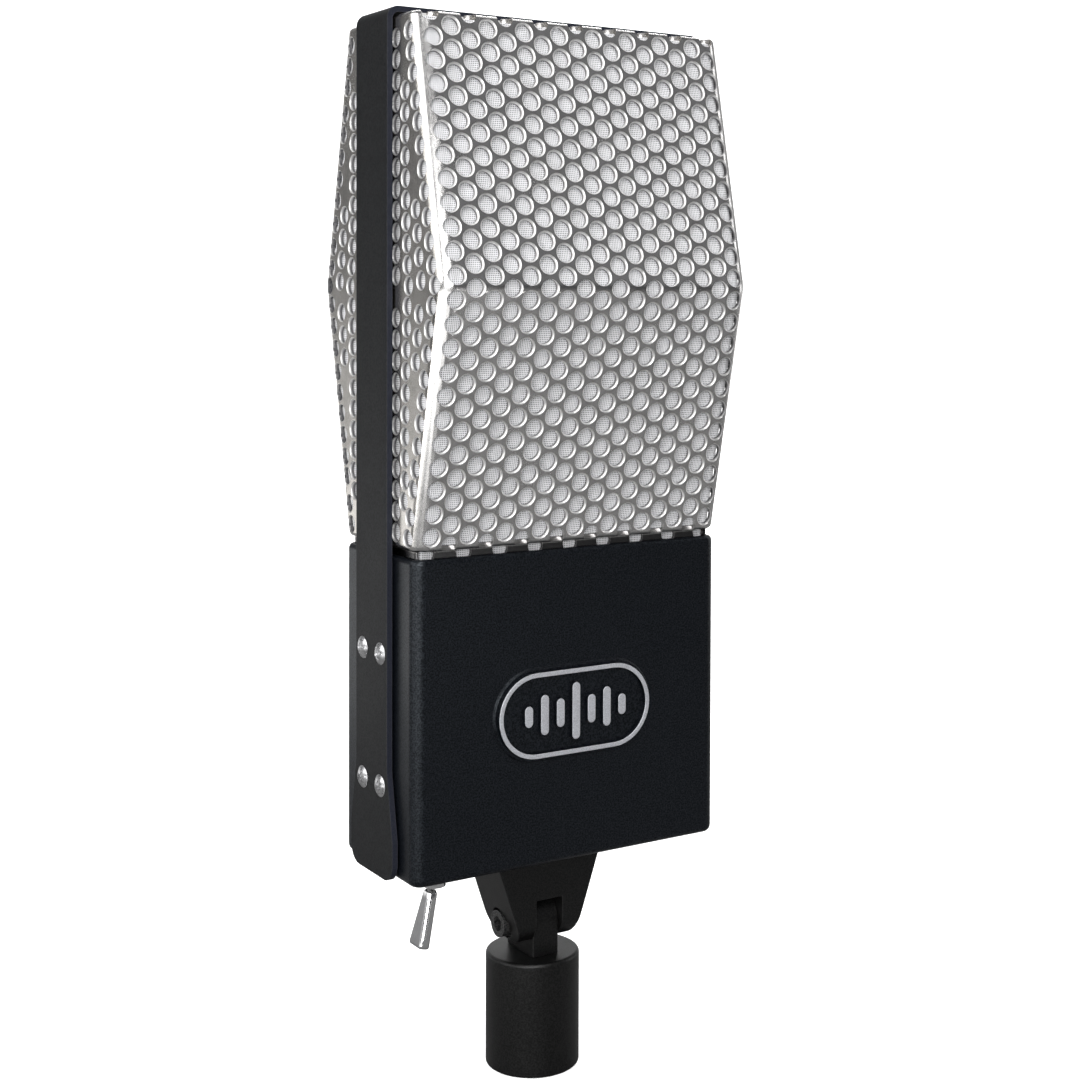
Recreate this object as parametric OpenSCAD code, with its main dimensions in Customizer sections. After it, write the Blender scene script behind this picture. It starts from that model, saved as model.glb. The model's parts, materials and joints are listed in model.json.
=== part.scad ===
// Side-address ribbon microphone with a perforated hexagonal-profile grille,
// a sheet-metal strap frame, two pressed covers and a tilting stand mount.
// Millimetres. +Z up, front faces -Y. Origin: centre of the stand adapter's foot.
// Name endings: hw half width (X), hd half depth (Y), r radius, t thickness,
// z0 and z1 lower and upper height.

/* [Overall] */
// Height of the grille's ridge above the foot
ridge_z = 221.4; // [219:0.2:225]
// Half width of the strap, outside
strap_hw = 50.65; // [50.4:0.05:51]
// Depth of the strap, front to back
strap_d = 19.1; // [18.4:0.1:19.5]
// Thickness of the strap's sheet
strap_t = 1.6; // [1.2:0.1:1.6]
// Height of the strap's top above the ridge
strap_rise = 73.95; // [73.5:0.05:75]
// Half depth of the strap's flared lower end
flare_hd = 12.9; // [11:0.1:13.2]

/* [Grille] */
// Half width of the grille
grille_hw = 48.6; // [48:0.1:48.7]
// Half depth of the grille at its ridge
grille_ridge_hd = 37.2; // [32:0.1:40]
// Half depth of the grille at its top and bottom
grille_end_hd = 22; // [21.8:0.1:24]
// Thickness of the grille's sheet
grille_t = 0.6; // [0.5:0.1:0.7]

/* [Covers] */
// Half depth over the covers
cover_hd = 21.7; // [21.5:0.1:22.2]
// Thickness of the covers' sheet
cover_t = 1.4; // [1.2:0.1:1.4]
// Radius of the covers' upright corners
cover_r = 3.5; // [2.5:0.1:4.5]
// Height of the covers' lower edge above the foot
cover_z0 = 63.4; // [63.2:0.1:63.6]
// Height of the covers' upper edge above the foot
cover_z1 = 149.8; // [149.2:0.1:150.2]

/* [Badge] */
// Width of the badge
badge_w = 51; // [44:1:56]
// Height of the badge
badge_h = 26; // [22:1:28]

/* [Stand mount] */
// Radius of the stand adapter
adapter_r = 13.35; // [12.5:0.05:14]
// Height of the stand adapter
adapter_h = 32.2; // [31.8:0.1:32.2]
// Radius of the stand thread's wall
thread_r = 7.48; // [7.4:0.01:7.6]
// Length of the stand thread's wall
thread_len = 19; // [16:0.5:19]
// Height of the tilt pivot above the foot
pivot_z = 41.3; // [41:0.1:41.6]
// Half depth of the clevis
clevis_hd = 9.5; // [9:0.1:10]
// Width of the clevis slot
slot_w = 8.4; // [8.4:0.1:8.8]
// Radius of the pivot bolt
bolt_r = 2; // [1.9:0.01:2]

/* [Switch] */
// Sideways position of the switch
sw_x = -36.2; // [-37:0.1:-35]
// Front-to-back position of the switch
sw_y = -9; // [-9.2:0.1:-8.6]
// Lean of the lever at rest
lever_lean = 14; // [12:0.5:14]
// Length of the lever from its pivot
lever_len = 19.2; // [16:0.2:20]

/* [Ribbon motor] */
// Width of the ribbon
ribbon_w = 4.7; // [4:0.1:4.8]
// Free length of the ribbon
ribbon_len = 64; // [60:1:64]
// Pitch of the ribbon's corrugations
ribbon_pitch = 1.6; // [1.6:0.4:3.2]

/* [Hidden] */
$fn = 72;

sides = [-1, 1];
wire_fn = 24;
// Gaps on the radius
snug = 0.02;
loose = 0.05;

strap_z0 = 63;
strap_z1 = ridge_z + strap_rise;
strap_bend_r = 3.4;
grille_z0 = ridge_z - 69.6;
grille_z1 = ridge_z + 71.5;
base_z1 = cover_z0 + 3;
base_hd = 13.7;
deck_z0 = 145;
deck_z1 = deck_z0 + 2;
board_z0 = 104;
board_z1 = board_z0 + 1.6;

// Screw and hole places
side_screw_y = 5.4;
side_screw_zs = [87.7, 123.2];
side_hole_r = 1.65;
clevis_screw_x = 9.5;
foot_screw_x = 44;
foot_screw_y = 7;
deck_screw_x = 42;
grommet_xs = [-21, 21];
grommet_ys = [-6.5, 6.5];
standoff_xs = [-30, 30];
standoff_ys = [-12, 12];
can_screw_y = 12.6;
motor_lead_x = 7.3;
motor_lead_y = -12;

black = [0.08, 0.08, 0.09];
charcoal = [0.2, 0.2, 0.21];
plate_black = [0.12, 0.12, 0.13];
dark_steel = [0.3, 0.3, 0.32];
steel = [0.75, 0.75, 0.77];
grille_silver = [0.78, 0.77, 0.75];
gauze_silver = [0.9, 0.9, 0.88];
brass = [0.8, 0.7, 0.4];
lead_red = [0.8, 0.2, 0.15];

// ---- helpers -------------------------------------------------------------

// A block given by its low and high corners
module block(low, high) translate(low) cube(high - low);

// A block centred on x, y
module centred_block(hw, hd, z0, z1, x = 0, y = 0)
  block([x - hw, y - hd, z0], [x + hw, y + hd, z1]);

// Cylinders along X, Y and Z
module cyl_x(r, x0, x1, y, z)
  translate([x0, y, z]) rotate([0, 90, 0]) cylinder(r = r, h = x1 - x0);

module cyl_y(r, y0, y1, x, z)
  translate([x, y1, z]) rotate([90, 0, 0]) cylinder(r = r, h = y1 - y0);

module cyl_z(r, z0, z1, x = 0, y = 0) translate([x, y, z0]) cylinder(r = r, h = z1 - z0);

// A flat rectangle with four round corners, given by its low and high corners
module round_rect(low, high, r) {
  size = high - low;
  translate([low[0] + r, low[1]]) square([size[0] - 2 * r, size[1]]);
  translate([low[0], low[1] + r]) square([size[0], size[1] - 2 * r]);
  for (x = [low[0] + r, high[0] - r], y = [low[1] + r, high[1] - r])
    translate([x, y]) circle(r = r);
}

// A block centred on x with round upright corners
module round_block(hw, hd, r, z0, z1, x = 0)
  translate([0, 0, z0]) linear_extrude(z1 - z0) round_rect([x - hw, -hd], [x + hw, hd], r);

// Extrudes an outline drawn in X (across) and Z (up) along Y
module along_y(y0, y1)
  translate([0, y1, 0]) rotate([90, 0, 0]) linear_extrude(y1 - y0) children();

// Extrudes an outline drawn in Y (across) and Z (up) along X
module along_x(x0, x1)
  translate([x0, 0, 0]) rotate([90, 0, 90]) linear_extrude(x1 - x0) children();

// Its children, and their mirror image on the other side in X
module both_sides() for (m = [0, 1]) mirror([m, 0, 0]) children();

// A pan-head screw pointing down (-Z), head seat at z = 0
module pan_screw(head_r, head_h, shank_r, shank_len) {
  dome_r = head_r * 1.6;
  difference() {
    intersection() {
      cylinder(r = head_r, h = head_h);
      translate([0, 0, head_h - dome_r]) sphere(r = dome_r);
    }
    // cross recess
    for (turn = [0, 90]) rotate([0, 0, turn])
      translate([-head_r * 0.55, -head_r * 0.1, head_h * 0.45])
        cube([head_r * 1.1, head_r * 0.2, head_h]);
  }
  translate([0, 0, -shank_len]) cylinder(r = shank_r, h = shank_len);
}

// ---- strap ---------------------------------------------------------------

// Front outline of the arch, inset all round and run past its foot
module arch_outline(inset, overrun) {
  translate([-strap_hw + inset, strap_z0 - overrun])
    square([2 * (strap_hw - inset), strap_z1 - strap_bend_r - strap_z0 + overrun]);
  translate([-strap_hw + strap_bend_r, strap_z1 - 4])
    square([2 * (strap_hw - strap_bend_r), 4 - inset]);
  for (s = sides) translate([s * (strap_hw - strap_bend_r), strap_z1 - strap_bend_r])
    circle(r = strap_bend_r - inset);
}

module strap_side_outline() {
  hd = strap_d / 2;
  foot_r = 5;
  flare_z0 = 74;
  flare_z1 = 92;
  polygon([[-hd, strap_z1 + 1], [-hd, flare_z1], [-flare_hd, flare_z0],
    [-flare_hd, strap_z0 + foot_r], [flare_hd, strap_z0 + foot_r],
    [flare_hd, flare_z0], [hd, flare_z1], [hd, strap_z1 + 1]]);
  translate([-flare_hd + foot_r, strap_z0]) square([2 * (flare_hd - foot_r), 2 * foot_r]);
  for (s = sides) translate([s * (flare_hd - foot_r), strap_z0 + foot_r]) circle(r = foot_r);
}

// Drills for the side screws through both walls at x = -wall_x and wall_x
module side_holes(wall_x, ys) for (s = sides, y = ys, z = side_screw_zs)
  cyl_x(side_hole_r, s * wall_x - 3, s * wall_x + 3, y, z);

module frame_strap() color(charcoal) difference() {
  intersection() {
    along_y(-flare_hd - 1, flare_hd + 1) difference() {
      arch_outline(0, 1);
      arch_outline(strap_t, 2);
    }
    along_x(-strap_hw - 1, strap_hw + 1) strap_side_outline();
  }
  side_holes(strap_hw, [-side_screw_y, side_screw_y]);
}

module strap_screws() color(steel)
  for (s = sides, y = [-side_screw_y, side_screw_y], z = side_screw_zs)
    translate([s * strap_hw, y, z]) rotate([0, s * 90, 0])
      rotate([0, 0, 23 + y * 7 + z]) pan_screw(3, 1.1, 1.5, 6);

// ---- grille and gauze ----------------------------------------------------

face_slope = 12.3;
split_y = -0.15; // back edge of the front half
neck_hw = 47;
neck_hd = cover_hd - cover_t - 0.2;
neck_t = 0.8;
neck_r = 2.2;
gauze_gap = 0.3;
gauze_t = 0.2;

// Side outline of the front half, sheet inset square to its faces
module grille_outline(inset, back = split_y) {
  inset_y = inset / cos(face_slope);
  polygon([[back, grille_z0 + inset], [-grille_end_hd + inset_y, grille_z0 + inset],
    [-grille_ridge_hd + inset_y, ridge_z],
    [-grille_end_hd + inset_y, grille_z1 - inset], [back, grille_z1 - inset]]);
}

module grille_block(side_inset, inset, back = split_y)
  along_x(-grille_hw + side_inset, grille_hw - side_inset) grille_outline(inset, back);

// Block of the neck, front corners rounded to slip inside the cover's corners
module neck_block(inset, z0, z1, back) {
  hw = neck_hw - inset;
  hd = neck_hd - inset;
  intersection() {
    round_block(hw, hd, neck_r - inset, z0, z1);
    block([-hw - 1, -hd - 1, z0 - 1], [hw + 1, back, z1 + 1]);
  }
}

module grille_half() difference() {
  union() {
    grille_block(0, 0);
    neck_block(0, cover_z1 - 6.3, grille_z0 + 0.5, split_y);
  }
  grille_block(grille_t, grille_t, 1);
  neck_block(neck_t, cover_z1 - 7, grille_z0 + 2, 1);
}

module gauze_half() {
  outer = grille_t + gauze_gap;
  inner = outer + gauze_t;
  difference() {
    grille_block(outer, outer);
    grille_block(inner, inner, 1);
    // opening into the neck
    block([-neck_hw + neck_t, -neck_hd + neck_t, grille_z0 - 1],
      [neck_hw - neck_t, 1, grille_z0 + 3]);
  }
}

module front_grille() color(grille_silver) grille_half();
module rear_grille() color(grille_silver) mirror([0, 1, 0]) grille_half();
module front_gauze() color(gauze_silver) gauze_half();
module rear_gauze() color(gauze_silver) mirror([0, 1, 0]) gauze_half();

// ---- covers --------------------------------------------------------------

// Solid envelope of both covers; the inset one is open at the top
module cover_body(inset) {
  hw = grille_hw - inset;
  hd = cover_hd - inset;
  fold_r = max(1.8 - inset, 0.3);
  intersection() {
    round_block(hw, hd, max(cover_r - inset, 0.5), cover_z0 - 1, cover_z1 + 1);
    along_x(-hw - 1, hw + 1)
      round_rect([-hd, cover_z0 + inset], [hd, cover_z1 + (inset > 0 ? 2 : 0)], fold_r);
  }
}

module cover_half() {
  wall_x = grille_hw - cover_t / 2 + 0.2;
  cut_hw = cover_t / 2 + 0.3;
  difference() {
    cover_body(0);
    cover_body(cover_t);
    // the rear half of the envelope
    block([-60, -0.1, cover_z0 - 5], [60, 40, cover_z1 + 5]);
    // opening of the bottom, closed by the base plate
    block([-grille_hw + cover_t, -base_hd - 0.1, cover_z0 - 2],
      [grille_hw - cover_t, 1, cover_z0 + 3]);
    // the side walls stop a little above the folded bottom
    for (s = sides) block([s * wall_x - cut_hw, -cover_hd + cover_r, cover_z0 - 1],
      [s * wall_x + cut_hw, 1, cover_z0 + 0.6]);
    side_holes(grille_hw, [-side_screw_y]);
  }
}

module front_cover() color(black) cover_half();
module rear_cover() color(black) mirror([0, 1, 0]) cover_half();

// ---- badge ---------------------------------------------------------------

badge_z = 105.2;
badge_face_y = -cover_hd - 1.2;
badge_relief_y = badge_face_y - 0.6;
rim_w = 1.4;
bar_w = 2.4;
bar_pitch = 5;
// Bar heights as shares of the badge's height, from -X to +X
bar_shares = [0.22, 0.42, 0.3, 0.6, 0.3, 0.42, 0.22];

// Rectangle with half-round ends
module badge_outline(inset) {
  end_r = badge_h / 2;
  square([badge_w - 2 * end_r, badge_h - 2 * inset], center = true);
  for (s = sides) translate([s * (badge_w / 2 - end_r), 0]) circle(r = end_r - inset);
}

module badge_plate() color([0.7, 0.7, 0.72]) {
  along_y(badge_face_y, -cover_hd) translate([0, badge_z]) badge_outline(0);
  along_y(badge_relief_y, badge_face_y) translate([0, badge_z]) difference() {
    badge_outline(0);
    badge_outline(rim_w);
  }
  // round-ended upright bars
  for (i = [-3 : 3]) {
    bar_h = badge_h * bar_shares[i + 3];
    along_y(badge_relief_y, badge_face_y) translate([i * bar_pitch, badge_z]) {
      square([bar_w, bar_h], center = true);
      for (s = sides) translate([0, s * bar_h / 2]) circle(r = bar_w / 2);
    }
  }
}

// ---- chassis -------------------------------------------------------------

switch_hole_r = 3.15;
xlr_x = 27.5;
xlr_shell_r = 9.5;
xlr_screw_r = 1.4;

// Two opposite corners of the connector's flange
module at_xlr_screws() for (s = sides)
  translate([xlr_x + s * 10.6, -s * 10.6, 0]) children();

module base_plate() color(plate_black) {
  z0 = cover_z0 - 1;
  z1 = base_z1 + 1;
  difference() {
    centred_block(46.9, base_hd, cover_z0, base_z1);
    for (s = sides) {
      cyl_z(2.2, z0, z1, s * clevis_screw_x);
      cyl_z(1.65, z0, z1, s * foot_screw_x, foot_screw_y);
    }
    cyl_z(switch_hole_r, z0, z1, sw_x, sw_y);
    cyl_z(xlr_shell_r + loose, z0, z1, xlr_x);
    at_xlr_screws() cyl_z(xlr_screw_r + snug, z0, z1);
  }
}

module deck_plate() color(plate_black) {
  z0 = deck_z0 - 1;
  z1 = deck_z1 + 1;
  difference() {
    round_block(46, 19, 2, deck_z0, deck_z1);
    for (s = sides) {
      cyl_z(1.65, z0, z1, s * deck_screw_x);
      cyl_z(1.5, z0, z1, 0, s * can_screw_y);
      cyl_z(1.2, z0, z1, s * motor_lead_x, motor_lead_y);
    }
    for (x = grommet_xs, y = grommet_ys) cyl_z(1.4 + snug, z0, z1, x, y);
    for (x = standoff_xs, y = standoff_ys) cyl_z(1.5, z0, z1, x, y);
  }
}

module side_rails() color([0.6, 0.6, 0.62]) {
  x0 = 44.7;
  x1 = 47.1;
  hd = 13;
  tab_z0 = 143;
  hole_r = 1.5 + snug;
  both_sides() difference() {
    union() {
      block([x0, -hd, base_z1], [x1, hd, tab_z0]);
      block([38, -hd, tab_z0], [46.1, hd, deck_z0]);
      block([41, 1, base_z1], [x1, hd, base_z1 + 6]);
    }
    cyl_z(hole_r, base_z1 - 1, base_z1 + 5.5, foot_screw_x, foot_screw_y);
    cyl_z(hole_r, tab_z0 - 0.5, deck_z0 + 1, deck_screw_x);
    for (y = [-side_screw_y, side_screw_y], z = side_screw_zs) cyl_x(hole_r, 43, 48, y, z);
  }
}

module chassis_screws() color(steel) for (s = sides) {
  translate([s * foot_screw_x, foot_screw_y, cover_z0]) rotate([180, 0, 0])
    rotate([0, 0, 35 * s]) pan_screw(2.6, 1.3, 1.5, 8);
  translate([s * deck_screw_x, 0, deck_z1]) rotate([0, 0, 20 * s])
    pan_screw(2.8, 1.6, 1.5, 3.6);
}

// ---- stand mount ---------------------------------------------------------

clevis_z0 = 36.5;
clevis_screw_r = 2;
bolt_seat_x = -7.6;
socket_r = 1.73;
shoulder_r = 3;
shoulder_z0 = 23.4;
shoulder_z1 = adapter_h + 0.05;
stud_r = 2;
washer_z1 = 24.05;

// Half width of the clevis at height z
function clevis_hw(z) = 10.6 + (z - 43) * 0.338;

module clevis() color(black) difference() {
  intersection() {
    along_y(-clevis_hd, clevis_hd) polygon([
      [-clevis_hw(cover_z0), cover_z0], [clevis_hw(cover_z0), cover_z0],
      [clevis_hw(clevis_z0), clevis_z0], [-clevis_hw(clevis_z0), clevis_z0]]);
    along_x(-30, 30) union() {
      round_rect([-clevis_hd, clevis_z0], [clevis_hd, 60], 6.5);
      translate([-clevis_hd, 50]) square([2 * clevis_hd, 20]);
    }
  }
  centred_block(slot_w / 2, clevis_hd + 1, 30, 49);
  cyl_x(bolt_r + loose, -12, 20, 0, pivot_z);
  // recess of the bolt head
  cyl_x(4.4, -30, bolt_seat_x, 0, pivot_z);
  for (s = sides) cyl_z(clevis_screw_r + snug, 52, cover_z0 + 1, s * clevis_screw_x);
}

module clevis_screws() color(dark_steel) {
  shank_len = 13.8;
  for (s = sides) translate([s * clevis_screw_x, 0, base_z1]) {
    difference() {
      cylinder(r = 3.5, h = 3.6);
      translate([0, 0, 1.8]) cylinder(r = socket_r, h = 3, $fn = 6);
    }
    translate([0, 0, -shank_len]) cylinder(r = clevis_screw_r, h = shank_len);
  }
}

module pivot_bolt() color([0.16, 0.16, 0.17]) {
  head_x = bolt_seat_x - 4;
  difference() {
    union() {
      cyl_x(3.75, head_x, bolt_seat_x, 0, pivot_z);
      cyl_x(bolt_r, bolt_seat_x, 9.2, 0, pivot_z);
    }
    cyl_x(2.31, head_x - 1, head_x + 2.6, 0, pivot_z, $fn = 6);
  }
}

module swivel_tongue() color(black) {
  hw = slot_w / 2 - 0.1;
  eye_r = 7.3;
  difference() {
    union() {
      centred_block(hw, eye_r, shoulder_z1, pivot_z);
      cyl_x(eye_r, -hw, hw, 0, pivot_z);
    }
    cyl_x(bolt_r + loose, -10, 10, 0, pivot_z);
    cyl_z(stud_r + snug, adapter_h - 1, 38);
  }
}

module shoulder_screw() color(steel) {
  head_z0 = 19.9;
  difference() {
    union() {
      cyl_z(5.2, head_z0, shoulder_z0);
      cyl_z(shoulder_r, shoulder_z0, shoulder_z1);
      cyl_z(stud_r, adapter_h, 37.6);
    }
    cyl_z(socket_r, head_z0 - 0.9, head_z0 + 1.9, $fn = 6);
  }
}

module wave_washer() color(steel) difference() {
  cyl_z(5.6, shoulder_z0 + 0.05, washer_z1);
  cyl_z(3.2, 23, 25);
}

module stand_adapter() color(black) {
  foot_r = 1.2;
  top_r = 1;
  bore_r = shoulder_r + loose;
  mouth_h = 0.6;
  recess_r = 6.4;
  difference() {
    rotate_extrude() difference() {
      union() {
        translate([0, foot_r]) square([adapter_r, adapter_h - foot_r - top_r]);
        square([adapter_r - foot_r, 4]);
        translate([adapter_r - foot_r, foot_r]) circle(r = foot_r);
        translate([0, adapter_h - 3]) square([adapter_r - top_r, 3]);
        translate([adapter_r - top_r, adapter_h - top_r]) circle(r = top_r);
      }
      // keeps the profile on one side of the axis
      translate([-5, -5]) square([5, 50]);
    }
    // stepped bore with a flared mouth
    rotate_extrude() polygon([[0, -1], [thread_r + 1.6, -1], [thread_r, mouth_h],
      [thread_r, mouth_h + thread_len], [recess_r, mouth_h + thread_len],
      [recess_r, washer_z1], [bore_r, washer_z1], [bore_r, adapter_h + 1],
      [0, adapter_h + 1]]);
  }
}

// ---- switch --------------------------------------------------------------

lever_pivot_z = 62.2;
lever_pin_r = 0.5;
bushing_r = 3.1;
nut_z0 = 60.9;
nut_t = 2;
switch_body_z1 = base_z1 + 10;
terminal_z1 = switch_body_z1 + 4;
terminal_pitch = 4.7;

function terminal_x(i) = sw_x + i * terminal_pitch;

module switch_lever() color(steel)
  translate([sw_x, sw_y, lever_pivot_z]) rotate([0, lever_lean, 0]) {
    sphere(r = 2.2);
    // pivot pin through the ball
    cyl_y(lever_pin_r, -2.7, 2.7, 0, 0);
    cyl_z(1.05, -4.4, 0);
    cylinder(r = 0.8, h = 3.4);
    // flat paddle, widening towards its tip
    along_x(-1.65, 1.65)
      polygon([[-1.95, -4], [1.95, -4], [3.6, -lever_len], [-3.6, -lever_len]]);
  }

module switch_bushing() color(steel) difference() {
  cyl_z(bushing_r, 59.3, base_z1, sw_x, sw_y);
  cyl_z(2.3, 58, base_z1 + 1, sw_x, sw_y);
  // bearing holes of the lever's pivot pin
  cyl_y(lever_pin_r + loose, sw_y - 4, sw_y + 4, sw_x, lever_pivot_z);
}

module switch_nut() color(steel) difference() {
  intersection() {
    translate([sw_x, sw_y, nut_z0]) cylinder(r = 4.62, h = nut_t, $fn = 6);
    // rounds off the hexagon's corners
    translate([sw_x, sw_y, nut_z0 + 1.4]) sphere(r = 5.6);
  }
  cyl_z(bushing_r + snug, 60, 64, sw_x, sw_y);
}

module switch_washer() color(steel) difference() {
  cyl_z(5, nut_z0 + nut_t, cover_z0, sw_x, sw_y);
  cyl_z(switch_hole_r, 62, 64, sw_x, sw_y);
}

module switch_body() color([0.15, 0.25, 0.5])
  centred_block(6.5, 4.2, base_z1, switch_body_z1, sw_x, sw_y);

module switch_terminals() color(brass) for (i = [-1 : 1]) {
  x = terminal_x(i);
  difference() {
    centred_block(0.4, 1, switch_body_z1, terminal_z1, x, sw_y);
    cyl_x(0.45, x - 2, x + 2, sw_y, terminal_z1 - 1.4, $fn = wire_fn);
  }
}

// ---- output connector ----------------------------------------------------

xlr_bore_r = 8.2;
xlr_z1 = 82;
xlr_flange_t = 1.5;
xlr_pin_r = 1.2;
xlr_pin_z0 = 66.6;
xlr_pin_z1 = 87;
xlr_pin_at = [for (a = [30, 150, 270]) [xlr_x + 5 * cos(a), 5 * sin(a)]];

module xlr_shell() color([0.5, 0.5, 0.52]) difference() {
  union() {
    cyl_z(xlr_shell_r, cover_z0 + 0.2, xlr_z1, xlr_x);
    round_block(13, 13, 2.5, base_z1, base_z1 + xlr_flange_t, xlr_x);
  }
  cyl_z(xlr_bore_r, cover_z0 - 1, xlr_z1 + 1, xlr_x);
  at_xlr_screws() cyl_z(1.6, base_z1 - 1, base_z1 + 3);
}

module xlr_insert() color(black) difference() {
  cyl_z(xlr_bore_r - snug, xlr_z1 - 5, xlr_z1, xlr_x);
  for (p = xlr_pin_at) cyl_z(xlr_pin_r + snug, xlr_z1 - 6, xlr_z1 + 1, p[0], p[1]);
}

module xlr_pins() color([0.85, 0.8, 0.6]) for (p = xlr_pin_at) {
  cyl_z(xlr_pin_r, xlr_pin_z0, xlr_pin_z1, p[0], p[1]);
  translate([p[0], p[1], xlr_pin_z0]) sphere(r = xlr_pin_r);
}

module xlr_screws() color(dark_steel)
  at_xlr_screws() translate([0, 0, base_z1 + xlr_flange_t])
    pan_screw(2.2, 1.4, xlr_screw_r, 4);

// ---- ribbon motor --------------------------------------------------------

// Ends of the ribbon's free length
motor_z = 222;
free_z0 = motor_z - ribbon_len / 2;
free_z1 = motor_z + ribbon_len / 2;
window_hw = 21;
pole_back_x = 9;
fit_gap = 0.05;
// Clamp pockets, beyond the two ends
pocket_hw = 8;
pocket_h = 8;
pocket_z0s = [free_z0 - pocket_h, free_z1];
clamp_screw_x = 4.6;
clamp_screw_r = 0.9;
clamp_front_y = -2.2;
foil_y = 0.1;
foil_t = 0.12;
frame_z0 = free_z0 - 14;
frame_screw_x = 15;
motor_screw_r = 1.4;
bracket_z0 = 151;
bracket_t = 2;
bracket_z1 = bracket_z0 + bracket_t;

module motor_frame() color([0.65, 0.65, 0.68]) difference() {
  centred_block(24, 7, frame_z0, free_z1 + 14);
  centred_block(window_hw, 8, free_z0, free_z1);
  centred_block(pocket_hw, 8, free_z0 - pocket_h, free_z0 + 1);
  centred_block(pocket_hw, 8, free_z1 - 1, free_z1 + pocket_h);
  for (s = sides)
    cyl_z(motor_screw_r + snug, frame_z0 - 1, frame_z0 + 5, s * frame_screw_x);
}

module magnets() color([0.55, 0.55, 0.58]) both_sides()
  block([pole_back_x + fit_gap, -6, free_z0 + fit_gap],
    [window_hw - fit_gap, 6, free_z1 - fit_gap]);

// Wedges narrowing towards the ribbon
module pole_pieces() color([0.4, 0.4, 0.42]) both_sides()
  translate([0, 0, free_z0 + fit_gap]) linear_extrude(ribbon_len - 2 * fit_gap)
    polygon([[pole_back_x, -6], [pole_back_x, 6], [2.65, 2], [2.65, -2]]);

// Corrugated foil: a zigzag with flat clamped tails
module ribbon() color([0.9, 0.9, 0.92]) {
  zigzag_len = ribbon_len - 1;
  swing = 0.4;
  tail = 7.5;
  n = round(zigzag_len / (ribbon_pitch / 2));
  step = zigzag_len / n;
  zigzag = [for (i = [0 : n])
    [(i == 0 || i == n) ? foil_y : foil_y + (i % 2 == 0 ? swing : -swing),
      free_z0 + 0.5 + i * step]];
  along_x(-ribbon_w / 2, ribbon_w / 2) polygon(concat(
    [[foil_y, free_z0 - tail]], zigzag,
    [[foil_y, free_z1 + tail], [foil_y + foil_t, free_z1 + tail]],
    [for (i = [n : -1 : 0]) zigzag[i] + [foil_t, 0]],
    [[foil_y + foil_t, free_z0 - tail]]));
}

module clamp_insulators() color([0.75, 0.6, 0.35]) for (z = pocket_z0s) difference() {
  block([-pocket_hw + fit_gap, 0.24, z + fit_gap],
    [pocket_hw - fit_gap, 6, z + pocket_h - fit_gap]);
  for (s = sides)
    cyl_y(clamp_screw_r + snug, -1, 5, s * clamp_screw_x, z + pocket_h / 2);
}

module ribbon_clamps() color([0.85, 0.7, 0.4]) for (z = pocket_z0s) difference() {
  block([-6.6, clamp_front_y, z + 1], [6.6, 0.08, z + pocket_h - 1]);
  for (s = sides) cyl_y(1.02, -3, 1, s * clamp_screw_x, z + pocket_h / 2);
}

module clamp_screws() color(steel) for (z = pocket_z0s, s = sides)
  translate([s * clamp_screw_x, clamp_front_y, z + pocket_h / 2]) rotate([90, 0, 0])
    pan_screw(1.8, 1, clamp_screw_r, 6.4);

module motor_bracket() color([0.5, 0.5, 0.53]) {
  shelf_z0 = frame_z0 - bracket_t;
  difference() {
    union() {
      centred_block(26, 10, bracket_z0, bracket_z1);
      for (s = sides) centred_block(1, 6, bracket_z0 + 1, shelf_z0 + 1, s * 9);
      centred_block(20, 6, shelf_z0, frame_z0);
    }
    for (x = grommet_xs, y = grommet_ys) cyl_z(1.6, bracket_z0 - 1, bracket_z1 + 1, x, y);
    for (s = sides) cyl_z(1.6, shelf_z0 - 1, frame_z0 + 1, s * frame_screw_x);
  }
}

module motor_grommets() color([0.1, 0.1, 0.1])
  for (x = grommet_xs, y = grommet_ys) difference() {
    cyl_z(3.2, deck_z1, bracket_z0, x, y);
    cyl_z(1.6, deck_z1 - 1, bracket_z0 + 1, x, y);
    // groove round the waist
    translate([x, y, deck_z1 + 2]) rotate_extrude() translate([3.6, 0]) circle(r = 0.9);
  }

module motor_screws() color(steel) {
  for (x = grommet_xs, y = grommet_ys) translate([x, y, bracket_z1])
    rotate([0, 0, x + y]) pan_screw(2.6, 1.6, motor_screw_r, 8.4);
  for (s = sides) translate([s * frame_screw_x, 0, frame_z0 - bracket_t])
    rotate([180, 0, 0]) pan_screw(2.6, 1.6, motor_screw_r, 6.8);
}

// ---- transformer ---------------------------------------------------------

can_hw = 17;
can_hd = 15.5;
can_r = 3;
can_t = 1;
can_z0 = 113;
can_floor = can_z0 + can_t;
can_lead_xs = [-5, 5];
can_lead_y = 13;

module transformer_can() color([0.6, 0.6, 0.6]) difference() {
  round_block(can_hw, can_hd, can_r, can_z0, deck_z0);
  round_block(can_hw - can_t, can_hd - can_t, can_r - can_t, can_floor, can_floor + 40);
  for (x = can_lead_xs) cyl_z(0.9, can_z0 - 1, can_floor + 1, x, can_lead_y);
}

module transformer_core() color([0.35, 0.35, 0.37]) difference() {
  centred_block(14, 7, can_floor, 138);
  for (s = sides) centred_block(2.5, 8, 119, 133, s * 6.5);
}

module transformer_coil() color([0.75, 0.4, 0.2]) difference() {
  round_block(8.9, 11.6, 2, 119.1, 132.9);
  centred_block(4.05, 7.05, 118, 134);
}

module transformer_screws() color(steel)
  for (s = sides) translate([0, s * can_screw_y, deck_z1]) pan_screw(2.6, 1.6, 1.45, 7);

module transformer_leads() color(lead_red)
  for (x = can_lead_xs) cyl_z(0.6, board_z1, 126, x, can_lead_y, $fn = wire_fn);

// ---- electronics ---------------------------------------------------------

board_screw_r = 1.4;

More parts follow.
